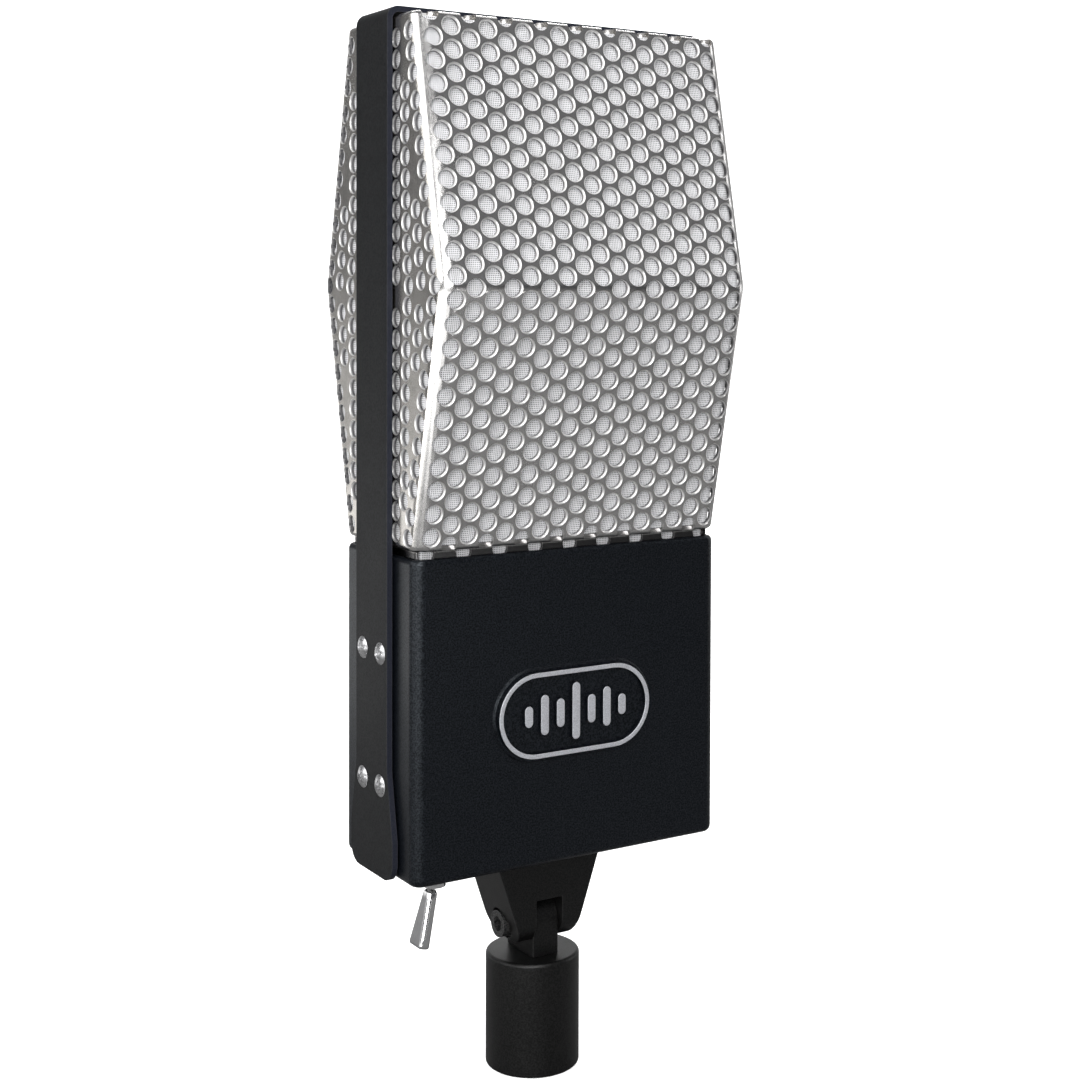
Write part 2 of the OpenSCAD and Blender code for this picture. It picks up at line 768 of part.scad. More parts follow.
module circuit_board() color([0.1, 0.4, 0.2]) difference() {
  centred_block(40, 17, board_z0, board_z1);
  for (x = standoff_xs, y = standoff_ys) cyl_z(1.5, board_z0 - 1, board_z0 + 3, x, y);
}

module board_standoffs() color(brass) for (x = standoff_xs, y = standoff_ys) difference() {
  cyl_z(3.1, board_z1, deck_z0, x, y, $fn = 6);
  cyl_z(board_screw_r + snug, board_z0 + 1, 112, x, y);
  cyl_z(board_screw_r + snug, 138, deck_z0 + 1, x, y);
}

module board_screws() color(steel) for (x = standoff_xs, y = standoff_ys) {
  translate([x, y, board_z0]) rotate([180, 0, 0]) pan_screw(2.6, 1.6, board_screw_r, 7);
  translate([x, y, deck_z1]) rotate([0, 0, x * y]) pan_screw(2.6, 1.6, board_screw_r, 8);
}

module capacitors() color([0.15, 0.3, 0.6]) {
  for (x = [-18, -8, 2]) cyl_z(4, 91, board_z0, x, 8);
  for (x = [-16, -4]) centred_block(4, 2.5, 95, board_z0, x, -7.5);
}

// Round bodies with a flat facing the front
module transistors() color([0.1, 0.1, 0.1]) for (x = [22, 34], y = [-5, 5]) difference() {
  cyl_z(2.4, board_z1, 110, x, y);
  block([x - 3, y - 3, board_z0 + 1], [x + 3, y - 1.4, 111]);
}

// ---- wiring --------------------------------------------------------------

// A lead that rises at the front, bends a quarter turn and runs back to a clamp
module motor_lead(x, z1) {
  lead_r = 0.45;
  bend_r = 2;
  bend_y = motor_lead_y + bend_r;
  cyl_z(lead_r, 139, z1 - bend_r, x, motor_lead_y, $fn = wire_fn);
  translate([x, bend_y, z1 - bend_r]) rotate([90, 0, -90])
    rotate_extrude(angle = 90, $fn = 48)
      translate([bend_r, 0]) circle(r = lead_r, $fn = wire_fn);
  cyl_y(lead_r, bend_y, -1, x, z1, $fn = wire_fn);
}

module motor_leads() color(lead_red) {
  motor_lead(motor_lead_x, pocket_z0s[0] + pocket_h / 2);
  motor_lead(-motor_lead_x, pocket_z0s[1] + pocket_h / 2);
}

module output_wires() color([0.2, 0.4, 0.7])
  for (p = xlr_pin_at) cyl_z(0.6, xlr_pin_z1, board_z0, p[0], p[1], $fn = wire_fn);

module switch_wires() color([0.8, 0.75, 0.2])
  for (i = [-1 : 1]) cyl_z(0.5, terminal_z1, board_z0, terminal_x(i), sw_y, $fn = wire_fn);

frame_strap();
strap_screws();
front_grille();
rear_grille();
front_gauze();
rear_gauze();
front_cover();
rear_cover();
badge_plate();
base_plate();
deck_plate();
side_rails();
chassis_screws();
clevis();
clevis_screws();
pivot_bolt();
swivel_tongue();
shoulder_screw();
wave_washer();
stand_adapter();
switch_lever();
switch_bushing();
switch_nut();
switch_washer();
switch_body();
switch_terminals();
xlr_shell();
xlr_insert();
xlr_pins();
xlr_screws();
motor_frame();
magnets();
pole_pieces();
ribbon();
ribbon_clamps();
clamp_insulators();
clamp_screws();
motor_bracket();
motor_grommets();
motor_screws();
transformer_can();
transformer_core();
transformer_coil();
transformer_screws();
transformer_leads();
circuit_board();
board_standoffs();
board_screws();
capacitors();
transistors();
motor_leads();
output_wires();
switch_wires();
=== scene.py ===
import json
import math
import bpy
import bmesh
import numpy as np
from mathutils.kdtree import KDTree
from mathutils import Matrix, Vector


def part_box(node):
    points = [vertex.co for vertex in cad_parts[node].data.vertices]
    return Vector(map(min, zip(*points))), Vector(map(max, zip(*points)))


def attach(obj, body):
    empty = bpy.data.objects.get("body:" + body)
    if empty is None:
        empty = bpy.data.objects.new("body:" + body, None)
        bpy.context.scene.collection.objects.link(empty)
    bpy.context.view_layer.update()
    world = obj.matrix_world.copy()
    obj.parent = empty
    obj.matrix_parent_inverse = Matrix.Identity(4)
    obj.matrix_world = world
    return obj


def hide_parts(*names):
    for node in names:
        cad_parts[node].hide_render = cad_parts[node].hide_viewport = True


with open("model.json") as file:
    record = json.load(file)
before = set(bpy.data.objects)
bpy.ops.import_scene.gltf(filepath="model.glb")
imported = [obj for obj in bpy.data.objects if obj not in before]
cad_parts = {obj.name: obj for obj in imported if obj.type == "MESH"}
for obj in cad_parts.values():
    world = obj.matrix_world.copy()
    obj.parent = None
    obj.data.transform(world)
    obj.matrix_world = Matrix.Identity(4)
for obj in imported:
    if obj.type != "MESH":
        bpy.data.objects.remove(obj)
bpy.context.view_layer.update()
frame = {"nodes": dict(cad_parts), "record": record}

NODES = frame["nodes"]
MM = 0.001


def nbox(node):
    lo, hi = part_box(node)
    return [v * 1000 for v in lo], [v * 1000 for v in hi]


# ------------------------------------------------------------------ materials

class Tree:
    """Small helper that adds shader nodes and links them."""

    def __init__(self, name):
        self.mat = bpy.data.materials.new(name)
        self.mat.use_nodes = True
        self.nt = self.mat.node_tree
        self.nt.nodes.clear()
        self.out = self.nt.nodes.new("ShaderNodeOutputMaterial")
        self.bsdf = self.nt.nodes.new("ShaderNodeBsdfPrincipled")
        self.nt.links.new(self.bsdf.outputs["BSDF"], self.out.inputs["Surface"])
        tc = self.nt.nodes.new("ShaderNodeTexCoord")
        self.co = tc.outputs["Object"]

    def put(self, sock, value):
        if isinstance(value, bpy.types.NodeSocket):
            self.nt.links.new(value, sock)
        else:
            sock.default_value = value

    def node(self, kind, props=None, **ins):
        n = self.nt.nodes.new(kind)
        for k, v in (props or {}).items():
            setattr(n, k, v)
        for k, v in ins.items():
            key = k.replace("_", " ")
            for s in n.inputs:
                if s.name == key or s.identifier == key:
                    self.put(s, v)
                    break
        return n

    def stretch(self, sx, sy, sz, src=None):
        n = self.node("ShaderNodeMapping")
        self.put(n.inputs["Vector"], src or self.co)
        n.inputs["Scale"].default_value = (sx, sy, sz)
        return n.outputs["Vector"]

    def noise(self, scale, detail=3.0, rough=0.55, vec=None):
        n = self.node("ShaderNodeTexNoise", None, Scale=scale, Detail=detail, Roughness=rough)
        self.put(n.inputs["Vector"], vec or self.co)
        return n.outputs["Fac"]

    def voronoi(self, scale, vec=None, feature="F1"):
        n = self.node("ShaderNodeTexVoronoi", {"feature": feature}, Scale=scale)
        self.put(n.inputs["Vector"], vec or self.co)
        return n.outputs["Distance"]

    def ramp(self, fac, lo, hi, a, b):
        n = self.node("ShaderNodeMapRange")
        self.put(n.inputs["Value"], fac)
        n.inputs["From Min"].default_value = lo
        n.inputs["From Max"].default_value = hi
        n.inputs["To Min"].default_value = a
        n.inputs["To Max"].default_value = b
        return n.outputs["Result"]

    def mix(self, fac, a, b):
        n = self.node("ShaderNodeMix", {"data_type": "RGBA"})
        self.put(n.inputs[0], fac)
        self.put(n.inputs[6], a)
        self.put(n.inputs[7], b)
        return n.outputs[2]

    def math(self, op, a, b=0.0):
        n = self.node("ShaderNodeMath", {"operation": op})
        self.put(n.inputs[0], a)
        self.put(n.inputs[1], b)
        return n.outputs[0]

    def bump(self, height, strength, distance, normal=None):
        n = self.node("ShaderNodeBump")
        n.inputs["Strength"].default_value = strength
        n.inputs["Distance"].default_value = distance
        self.put(n.inputs["Height"], height)
        if normal is not None:
            self.put(n.inputs["Normal"], normal)
        return n.outputs["Normal"]

    def edges(self, radius, lo=0.004, hi=0.05):
        """1 along sharp outer edges, 0 on flats."""
        bev = self.node("ShaderNodeBevel")
        bev.samples = 4
        bev.inputs["Radius"].default_value = radius
        geo = self.node("ShaderNodeNewGeometry")
        dot = self.node("ShaderNodeVectorMath", {"operation": "DOT_PRODUCT"})
        self.put(dot.inputs[0], bev.outputs["Normal"])
        self.put(dot.inputs[1], geo.outputs["Normal"])
        return self.ramp(self.math("SUBTRACT", 1.0, dot.outputs["Value"]), lo, hi, 0.0, 1.0)

    def set(self, **kw):
        names = dict(color="Base Color", metallic="Metallic", rough="Roughness", normal="Normal",
                     spec="Specular IOR Level", coat="Coat Weight", coat_rough="Coat Roughness",
                     sheen="Sheen Weight", tint="Specular Tint", sub="Subsurface Weight", aniso="Anisotropic", ior="IOR",
                     trans="Transmission Weight", alpha="Alpha")
        for k, v in kw.items():
            self.put(self.bsdf.inputs[names[k]], v)
        return self.mat


def grey(v, a=1.0):
    return (v, v, v, a)


def rgb(r, g, b):
    return (r, g, b, 1.0)


def coat_black(name, base, rough, grain=5200.0, bump=0.25, tint=(1.0, 1.02, 1.08), edge=0.0, dist=0.00006, spec=0.5, speck=1.0):
    """Painted or blasted black metal: fine even grain, soft mottling, slightly lighter edges that are wear together
    with a painted edge highlight.
    """
    t = Tree(name)
    fine = t.noise(grain, 2.0, 0.6)
    mid = t.noise(2300.0, 2.0, 0.55)
    big = t.noise(60.0, 4.0, 0.6)
    dark = tuple(base * max(1 - 0.62 * speck, 0.1) * c for c in tint) + (1.0,)
    light = tuple(base * (1 + 1.1 * speck) * c for c in tint) + (1.0,)
    g = t.math("ADD", t.math("MULTIPLY", fine, 0.2), t.math("MULTIPLY", mid, 0.8))
    col = t.mix(t.ramp(g, 0.40, 0.60, 0.0, 1.0), dark, light)
    col = t.mix(t.math("MULTIPLY", t.ramp(big, 0.45, 0.75, 0.0, 1.0), 0.25), col, tuple(base * 1.6 * c for c in tint) + (1.0,))
    # on the strap, faces looking to the front or back get a lighter bluish colour: a painted highlight
    if name == "m_strap_paint":
        geo = t.node("ShaderNodeNewGeometry")
        sp = t.node("ShaderNodeSeparateXYZ")
        t.put(sp.inputs[0], geo.outputs["Normal"])
        front_face_highlight = t.ramp(t.math("ABSOLUTE", sp.outputs["Y"]), 0.5, 0.8, 0.0, 1.0)
        col = t.mix(t.math("MULTIPLY", front_face_highlight, 0.8), col, rgb(0.020, 0.022, 0.033))
    # lighter edges: wear, together with a painted edge highlight
    if edge > 0:
        col = t.mix(t.math("MULTIPLY", t.edges(0.00035), edge), col, tuple(min(1, base * 5 + 0.03) * c for c in tint) + (1.0,))
    r = t.math("ADD", t.ramp(mid, 0.3, 0.7, rough - 0.05, rough + 0.06), t.ramp(big, 0.3, 0.7, -0.02, 0.03))
    h = t.math("ADD", fine, t.math("MULTIPLY", mid, 1.6))
    sheen = t.ramp(g, 0.40, 0.60, spec * (1 - 0.5 * min(speck, 1.0)), spec * (1 + 0.62 * min(speck, 1.0)))
    glint = (min(tint[0] + 0.14, 1.0), min(tint[1] - 0.02, 1.0), 1.0, 1.0) if tint[2] > 1.3 else (1, 1, 1, 1)
    return t.set(color=col, rough=r, normal=t.bump(h, bump, dist), spec=sheen, tint=glint)


def plated(name, base, rough, streak=None, smut=0.35, bump=0.12, scratch=True):
    """Plated or machined metal: slight haze, fine handling marks, darker film in places."""
    t = Tree(name)
    big = t.noise(90.0, 4.0, 0.6)
    fine = t.noise(2600.0, 3.0, 0.6)
    film = t.noise(420.0, 4.0, 0.65)
    dark = tuple(c * (1 - smut) for c in base) + (1.0,)
    col = t.mix(t.ramp(film, 0.42, 0.72, 0.0, 1.0), tuple(base) + (1.0,), dark)
    r = t.math("ADD", t.ramp(big, 0.3, 0.7, rough * 0.75, rough * 1.35), t.ramp(fine, 0.3, 0.7, -0.03, 0.04))
    h = fine
    if streak:
        s = t.noise(900.0, 2.0, 0.5, t.stretch(*streak))
        h = t.math("ADD", h, t.math("MULTIPLY", s, 1.5))
        r = t.math("ADD", r, t.ramp(s, 0.3, 0.7, -0.05, 0.08))
    if scratch:
        s2 = t.noise(300.0, 2.0, 0.5, t.stretch(0.15, 0.15, 9.0))
        r = t.math("ADD", r, t.ramp(s2, 0.62, 0.75, 0.0, 0.1))
    return t.set(color=col, metallic=1.0, rough=r, normal=t.bump(h, bump, 0.00004))


def toggle_chrome():
    """Bright plating on round edges, satin on the broad flats of the paddle, their darker colour painted shade."""
    t = Tree("m_switch_chrome")
    geo = t.node("ShaderNodeNewGeometry")
    sp = t.node("ShaderNodeSeparateXYZ")
    t.put(sp.inputs[0], geo.outputs["Normal"])
    low = t.node("ShaderNodeSeparateXYZ")
    t.put(low.inputs[0], t.co)
    # the broad flats take a darker colour: painted shade, together with a rougher satin finish
    flat = t.math("MULTIPLY", t.ramp(t.math("ABSOLUTE", sp.outputs["X"]), 0.80, 0.93, 0.0, 1.0), t.ramp(low.outputs["Z"], 0.0565, 0.058, 1.0, 0.0))
    fine = t.noise(2600.0, 3.0, 0.6)
    big = t.noise(160.0, 3.0, 0.6)
    brush = t.noise(1500.0, 2.0, 0.5, t.stretch(1.0, 4.0, 0.3))
    shiny = t.mix(t.ramp(big, 0.35, 0.7, 0.0, 1.0), rgb(0.78, 0.78, 0.78), rgb(0.68, 0.68, 0.69))
    satin_painted_shade = t.mix(t.ramp(brush, 0.3, 0.7, 0.0, 1.0), rgb(0.30, 0.30, 0.305), rgb(0.38, 0.38, 0.385))
    col = t.mix(flat, shiny, satin_painted_shade)
    r = t.math("ADD", t.ramp(fine, 0.3, 0.7, 0.10, 0.17), t.math("MULTIPLY", flat, 0.34))
    return t.set(color=col, metallic=1.0, rough=r, normal=t.bump(t.math("ADD", fine, brush), 0.12, 0.00004))


def moulded(name, base, rough, grain=3000.0, bump=0.1, sub=0.0, spec=0.5):
    t = Tree(name)
    fine = t.noise(grain, 3.0, 0.6)
    big = t.noise(140.0, 3.0, 0.5)
    col = t.mix(t.ramp(big, 0.35, 0.65, 0.0, 1.0), tuple(c * 0.85 for c in base) + (1.0,), tuple(min(1, c * 1.12) for c in base) + (1.0,))
    r = t.ramp(fine, 0.3, 0.7, rough - 0.05, rough + 0.07)
    return t.set(color=col, rough=r, normal=t.bump(fine, bump, 0.00005), spec=spec)


def wire_insulation(name, base):
    t = Tree(name)
    fine = t.noise(1800.0, 3.0, 0.6)
    lay = t.node("ShaderNodeTexWave", {"wave_type": "BANDS", "bands_direction": "DIAGONAL"}, Scale=900.0, Distortion=0.4)
    t.put(lay.inputs["Vector"], t.co)
    col = t.mix(t.ramp(fine, 0.3, 0.7, 0.0, 1.0), tuple(c * 0.7 for c in base) + (1.0,), tuple(min(1, c * 1.1) for c in base) + (1.0,))
    return t.set(color=col, rough=t.ramp(fine, 0.3, 0.7, 0.35, 0.5), normal=t.bump(lay.outputs["Fac"], 0.25, 0.00005))


def nickel_sheet():
    """Bright nickel sheet of the grille: dark sky reflected between lips brightened by a painted highlight, faint roll
    marks; painted shade in the hole walls and below the ledge, a painted warm reflection on the side walls.
    """
    t = Tree("m_nickel_sheet")
    big = t.noise(55.0, 4.0, 0.6)
    fine = t.noise(1900.0, 3.0, 0.6)
    film = t.noise(260.0, 4.0, 0.6)
    geo = t.node("ShaderNodeNewGeometry")
    sep = t.node("ShaderNodeSeparateXYZ")
    t.put(sep.inputs[0], geo.outputs["Normal"])
    # side walls get a warmer, beige tone than the front: a painted reflection of the surroundings
    side = t.ramp(t.math("ABSOLUTE", sep.outputs["X"]), 0.75, 0.98, 0.0, 1.0)
    side_reflection_warm = t.mix(t.ramp(film, 0.4, 0.7, 0.0, 1.0), rgb(0.72, 0.69, 0.65), rgb(0.58, 0.56, 0.52))
    cool = t.mix(t.ramp(film, 0.4, 0.7, 0.0, 1.0), rgb(0.70, 0.69, 0.68), rgb(0.56, 0.55, 0.54))
    col = t.mix(side, cool, side_reflection_warm)
    r = t.math("ADD", t.ramp(big, 0.3, 0.7, 0.17, 0.27), t.ramp(fine, 0.3, 0.7, -0.03, 0.03))
    roll = t.noise(600.0, 2.0, 0.5, t.stretch(3.0, 3.0, 0.25))
    h = t.math("ADD", fine, roll)
    # the sheet just below the ledge turns near-black: painted shade under the overhang
    pos = t.node("ShaderNodeSeparateXYZ")
    t.put(pos.inputs[0], t.co)
    ledge_painted_shade = t.ramp(pos.outputs["Z"], (LEDGE_Z - 0.45) * 0.001, (LEDGE_Z - 0.05) * 0.001, 0.93, 0.0)
    col = t.mix(ledge_painted_shade, col, rgb(0.06, 0.06, 0.062))
    lip = t.node("ShaderNodeAttribute", {"attribute_name": "lip"}).outputs["Fac"]
    wall = t.node("ShaderNodeAttribute", {"attribute_name": "wall"}).outputs["Fac"]
    # lip corners turn near-white: a painted highlight on each hole's lip; wall corners turn dark: painted shade inside
    # the holes
    col = t.mix(t.math("MULTIPLY", lip, 0.85), col, rgb(0.93, 0.92, 0.91))
    r = t.math("ADD", r, t.math("MULTIPLY", lip, 0.20))
    col = t.mix(t.ramp(wall, 0.05, 0.5, 0.0, 0.9), col, rgb(0.15, 0.15, 0.155))
    return t.set(color=col, metallic=1.0, rough=r, normal=t.bump(h, 0.10, 0.00004))


def gauze_weave(pitch=0.00054):
    """Fine square-woven wire cloth: plain weave, wires over and under, dark square openings."""
    t = Tree("m_gauze_weave")
    sep = t.node("ShaderNodeSeparateXYZ")
    t.put(sep.inputs[0], t.co)
    geo = t.node("ShaderNodeNewGeometry")
    ns = t.node("ShaderNodeSeparateXYZ")
    t.put(ns.inputs[0], geo.outputs["Normal"])
    is_side = t.math("GREATER_THAN", t.math("ABSOLUTE", ns.outputs["X"]), 0.72)
    is_top = t.math("GREATER_THAN", t.math("ABSOLUTE", ns.outputs["Z"]), 0.72)
    mu = t.node("ShaderNodeMix", {"data_type": "FLOAT"})
    t.put(mu.inputs[0], is_side)
    t.put(mu.inputs[2], sep.outputs["X"])
    t.put(mu.inputs[3], sep.outputs["Y"])
    mv = t.node("ShaderNodeMix", {"data_type": "FLOAT"})
    t.put(mv.inputs[0], is_top)
    t.put(mv.inputs[2], sep.outputs["Z"])
    t.put(mv.inputs[3], sep.outputs["Y"])
    wob = t.noise(500.0, 2.0, 0.5)
    shift = t.math("MULTIPLY", t.math("SUBTRACT", wob, 0.5), pitch * 0.5)
    k = math.pi / pitch
    u = t.math("MULTIPLY", t.math("ADD", mu.outputs[0], shift), k)
    v = t.math("MULTIPLY", t.math("ADD", mv.outputs[0], shift), k)
    su = t.math("ABSOLUTE", t.math("SINE", u))
    sv = t.math("ABSOLUTE", t.math("SINE", v))
    cross = t.math("MULTIPLY", t.math("SINE", u), t.math("SINE", v))
    wire = t.math("MAXIMUM", su, sv)
    gap = t.ramp(wire, 0.50, 0.94, 0.0, 1.0)
    tone = t.noise(900.0, 3.0, 0.6)
    bright = t.mix(t.ramp(tone, 0.3, 0.7, 0.0, 1.0), rgb(0.76, 0.76, 0.775), rgb(0.86, 0.86, 0.875))
    patch = t.ramp(t.noise(260.0, 2.0, 0.5), 0.42, 0.66, 0.0, 1.0)
    col = t.mix(gap, t.mix(patch, rgb(0.20, 0.20, 0.215), rgb(0.03, 0.03, 0.034)), bright)
    h = t.math("ADD", wire, t.math("MULTIPLY", cross, 0.35))
    return t.set(color=col, metallic=0.0, rough=t.ramp(tone, 0.3, 0.7, 0.42, 0.62), normal=t.bump(h, 0.5, 0.0001), spec=0.6)


def board_green():
    t = Tree("m_board_green")
    trace = t.voronoi(420.0, t.stretch(1.0, 1.0, 0.2), "F1")
    edge = t.math("GREATER_THAN", t.noise(260.0, 2.0, 0.4, t.stretch(1.0, 0.35, 1.0)), 0.56)
    fine = t.noise(2600.0, 2.0, 0.6)
    col = t.mix(edge, rgb(0.012, 0.075, 0.03), rgb(0.02, 0.14, 0.06))
    col = t.mix(t.math("MULTIPLY", t.math("LESS_THAN", trace, 0.12), 0.7), col, rgb(0.62, 0.5, 0.28))
    return t.set(color=col, rough=t.ramp(fine, 0.3, 0.7, 0.28, 0.42), normal=t.bump(t.math("ADD", edge, fine), 0.15, 0.00005), coat=0.4, coat_rough=0.2)


def phenolic(name):
    t = Tree(name)
    fib = t.noise(1500.0, 4.0, 0.65, t.stretch(1.0, 1.0, 5.0))
    col = t.mix(t.ramp(fib, 0.35, 0.65, 0.0, 1.0), rgb(0.22, 0.11, 0.035), rgb(0.42, 0.25, 0.09))
    return t.set(color=col, rough=t.ramp(fib, 0.3, 0.7, 0.35, 0.55), normal=t.bump(fib, 0.2, 0.00005))


def wound_copper():
    t = Tree("m_wound_copper")
    lay = t.node("ShaderNodeTexWave", {"wave_type": "BANDS", "bands_direction": "Z"}, Scale=1500.0, Distortion=0.15)
    t.put(lay.inputs["Vector"], t.co)
    tone = t.noise(350.0, 3.0, 0.6)
    col = t.mix(t.ramp(lay.outputs["Fac"], 0.2, 0.8, 0.0, 1.0), rgb(0.18, 0.05, 0.02), rgb(0.75, 0.30, 0.13))
    col = t.mix(t.math("MULTIPLY", tone, 0.35), col, rgb(0.35, 0.12, 0.05))
    return t.set(color=col, metallic=0.9, rough=t.ramp(tone, 0.3, 0.7, 0.28, 0.42), normal=t.bump(lay.outputs["Fac"], 0.6, 0.0001))


def laminations():
    t = Tree("m_core_iron")
    lay = t.node("ShaderNodeTexWave", {"wave_type": "BANDS", "bands_direction": "Y"}, Scale=430.0, Distortion=0.0)
    t.put(lay.inputs["Vector"], t.co)
    tone = t.noise(500.0, 3.0, 0.6)
    col = t.mix(t.ramp(lay.outputs["Fac"], 0.1, 0.4, 0.0, 1.0), rgb(0.05, 0.05, 0.055), rgb(0.26, 0.25, 0.25))
    return t.set(color=t.mix(t.math("MULTIPLY", tone, 0.4), col, rgb(0.12, 0.09, 0.07)), metallic=0.8,
                 rough=t.ramp(tone, 0.3, 0.7, 0.35, 0.55), normal=t.bump(lay.outputs["Fac"], 0.5, 0.0001))


def corrugated_foil():
    t = Tree("m_ribbon_foil")
    wav = t.node("ShaderNodeTexWave", {"wave_type": "BANDS", "bands_direction": "Z", "wave_profile": "SIN"}, Scale=320.0, Distortion=0.0)
    t.put(wav.inputs["Vector"], t.co)
    tone = t.noise(1200.0, 3.0, 0.6)
    return t.set(color=t.mix(t.ramp(tone, 0.3, 0.7, 0.0, 1.0), rgb(0.80, 0.80, 0.82), rgb(0.92, 0.92, 0.93)), metallic=1.0,
                 rough=t.ramp(tone, 0.3, 0.7, 0.18, 0.3), normal=t.bump(wav.outputs["Fac"], 1.0, 0.0003))


def badge_silver():
    """Silver enamel with a fine sparkle and soft mottling."""
    t = Tree("m_badge_silver")
    fine = t.noise(4200.0, 2.0, 0.6)
    mid = t.noise(800.0, 3.0, 0.6)
    col = t.mix(t.ramp(fine, 0.3, 0.7, 0.0, 1.0), rgb(0.42, 0.43, 0.46), rgb(0.74, 0.75, 0.79))
    col = t.mix(t.math("MULTIPLY", t.ramp(mid, 0.4, 0.7, 0.0, 1.0), 0.25), col, rgb(0.50, 0.51, 0.55))
    return t.set(color=col, metallic=0.55, rough=t.ramp(fine, 0.3, 0.7, 0.38, 0.52), normal=t.bump(fine, 0.3, 0.00006))


LEDGE_Z = nbox("front_cover")[1][2] + 2.0
M = {
    "strap_paint": coat_black("m_strap_paint", 0.0075, 0.5, 6000.0, 0.22, (0.97, 1.02, 1.12), 0.4, 0.00005, 0.15, 0.5),
    "cover_coat": coat_black("m_cover_coat", 0.0022, 0.34, 5200.0, 0.28, (0.70, 0.94, 1.5), 0.0, 0.00005, 0.35, 0.7),
    "mount_black": coat_black("m_mount_black", 0.0028, 0.38, 5200.0, 0.28, (1.0, 1.0, 1.0), 0.25, 0.00005, 0.33, 0.35),
    "chassis_black": coat_black("m_chassis_black", 0.02, 0.5, 4200.0, 0.35, (1.0, 1.0, 1.02), 0.3),
    "black_screw": coat_black("m_black_screw", 0.018, 0.36, 5200.0, 0.18, (1.0, 1.0, 1.0), 0.5),
    "zinc_steel": plated("m_zinc_steel", (0.62, 0.62, 0.63), 0.26, (1.0, 1.0, 1.0), 0.3),
    "grille_plate": nickel_sheet(),
    "gauze_wire": gauze_weave(),
    "badge_silver": badge_silver(),
    "bare_aluminium": plated("m_bare_aluminium", (0.76, 0.77, 0.79), 0.36, (0.3, 4.0, 4.0), 0.15),
    "switch_chrome": toggle_chrome(),
    "switch_plastic": moulded("m_switch_plastic", (0.02, 0.06, 0.2), 0.42),
    "brass": plated("m_brass", (0.78, 0.58, 0.26), 0.28, (2.0, 2.0, 0.4), 0.25),
    "connector_metal": plated("m_connector_metal", (0.60, 0.60, 0.61), 0.30, None, 0.2),
    "black_plastic": moulded("m_black_plastic", (0.018, 0.018, 0.019), 0.42),
    "pin_plate": plated("m_pin_plate", (0.82, 0.78, 0.66), 0.2, None, 0.15),
    "magnet_plate": plated("m_magnet_plate", (0.50, 0.50, 0.52), 0.3, None, 0.25),
    "core_iron": laminations(),
    "ribbon_foil": corrugated_foil(),
    "insulator_board": phenolic("m_insulator_board"),
    "rubber": moulded("m_rubber", (0.012, 0.012, 0.012), 0.72, 2400.0, 0.25),
    "can_metal": plated("m_can_metal", (0.55, 0.55, 0.56), 0.34, (1.0, 1.0, 4.0), 0.2),
    "copper_wire": wound_copper(),
    "wire_red": wire_insulation("m_wire_red", (0.55, 0.03, 0.02)),
    "wire_blue": wire_insulation("m_wire_blue", (0.02, 0.07, 0.42)),
    "wire_yellow": wire_insulation("m_wire_yellow", (0.62, 0.48, 0.05)),
    "board_green": board_green(),
    "capacitor_sleeve": moulded("m_capacitor_sleeve", (0.03, 0.07, 0.22), 0.35, 2600.0, 0.08),
}

SLOT_OF = {}
for row in frame["record"].get("nodes", []) or []:
    if isinstance(row, dict) and row.get("material_slot"):
        SLOT_OF[row.get("name") or row.get("node")] = row["material_slot"]
FALLBACK = dict(
    frame_strap="strap_paint", strap_screws="zinc_steel", front_grille="grille_plate", rear_grille="grille_plate",
    front_gauze="gauze_wire", rear_gauze="gauze_wire", front_cover="cover_coat", rear_cover="cover_coat",
    badge_plate="badge_silver", base_plate="chassis_black", deck_plate="chassis_black", side_rails="bare_aluminium",
    chassis_screws="zinc_steel", clevis="mount_black", clevis_screws="black_screw", pivot_bolt="black_screw",
    swivel_tongue="mount_black", shoulder_screw="zinc_steel", wave_washer="zinc_steel", stand_adapter="mount_black",
    switch_lever="switch_chrome", switch_bushing="switch_chrome", switch_nut="switch_chrome", switch_washer="switch_chrome",
    switch_body="switch_plastic", switch_terminals="brass", xlr_shell="connector_metal", xlr_insert="black_plastic",
    xlr_pins="pin_plate", xlr_screws="black_screw", motor_frame="bare_aluminium", magnets="magnet_plate",
    pole_pieces="core_iron", ribbon="ribbon_foil", ribbon_clamps="brass", clamp_insulators="insulator_board",
    clamp_screws="zinc_steel", motor_bracket="bare_aluminium", motor_grommets="rubber", motor_screws="zinc_steel",
    transformer_can="can_metal", transformer_core="core_iron", transformer_coil="copper_wire",
    transformer_screws="zinc_steel", transformer_leads="wire_red", circuit_board="board_green",
    board_standoffs="brass", board_screws="zinc_steel", capacitors="capacitor_sleeve", transistors="black_plastic",
    motor_leads="wire_red", output_wires="wire_blue", switch_wires="wire_yellow")


def slot_of(node):
    return SLOT_OF.get(node) or FALLBACK.get(node, "chassis_black")


# ------------------------------------------------------------------ mesh tools

def mesh_obj(name, verts, faces, mat, body=None, scale=MM):
    me = bpy.data.meshes.new(name)
    me.from_pydata([tuple(float(c) * scale for c in v) for v in verts], [], [list(map(int, f)) for f in faces])
    me.validate()
    bm = bmesh.new()
    bm.from_mesh(me)
    bmesh.ops.recalc_face_normals(bm, faces=bm.faces)
    bm.to_mesh(me)
    bm.free()
    ob = bpy.data.objects.new(name, me)
    bpy.context.scene.collection.objects.link(ob)
    if mat is not None:
        me.materials.append(mat)
    if body:
        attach(ob, body)
    return ob


def baked(ob):
    """Applies the modifiers of ob into its own mesh."""
    bpy.context.view_layer.update()
    dg = bpy.context.evaluated_depsgraph_get()
    me = bpy.data.meshes.new_from_object(ob.evaluated_get(dg), preserve_all_data_layers=False, depsgraph=dg)
    old = ob.data
    ob.modifiers.clear()
    ob.data = me
    bpy.data.meshes.remove(old)
    return ob


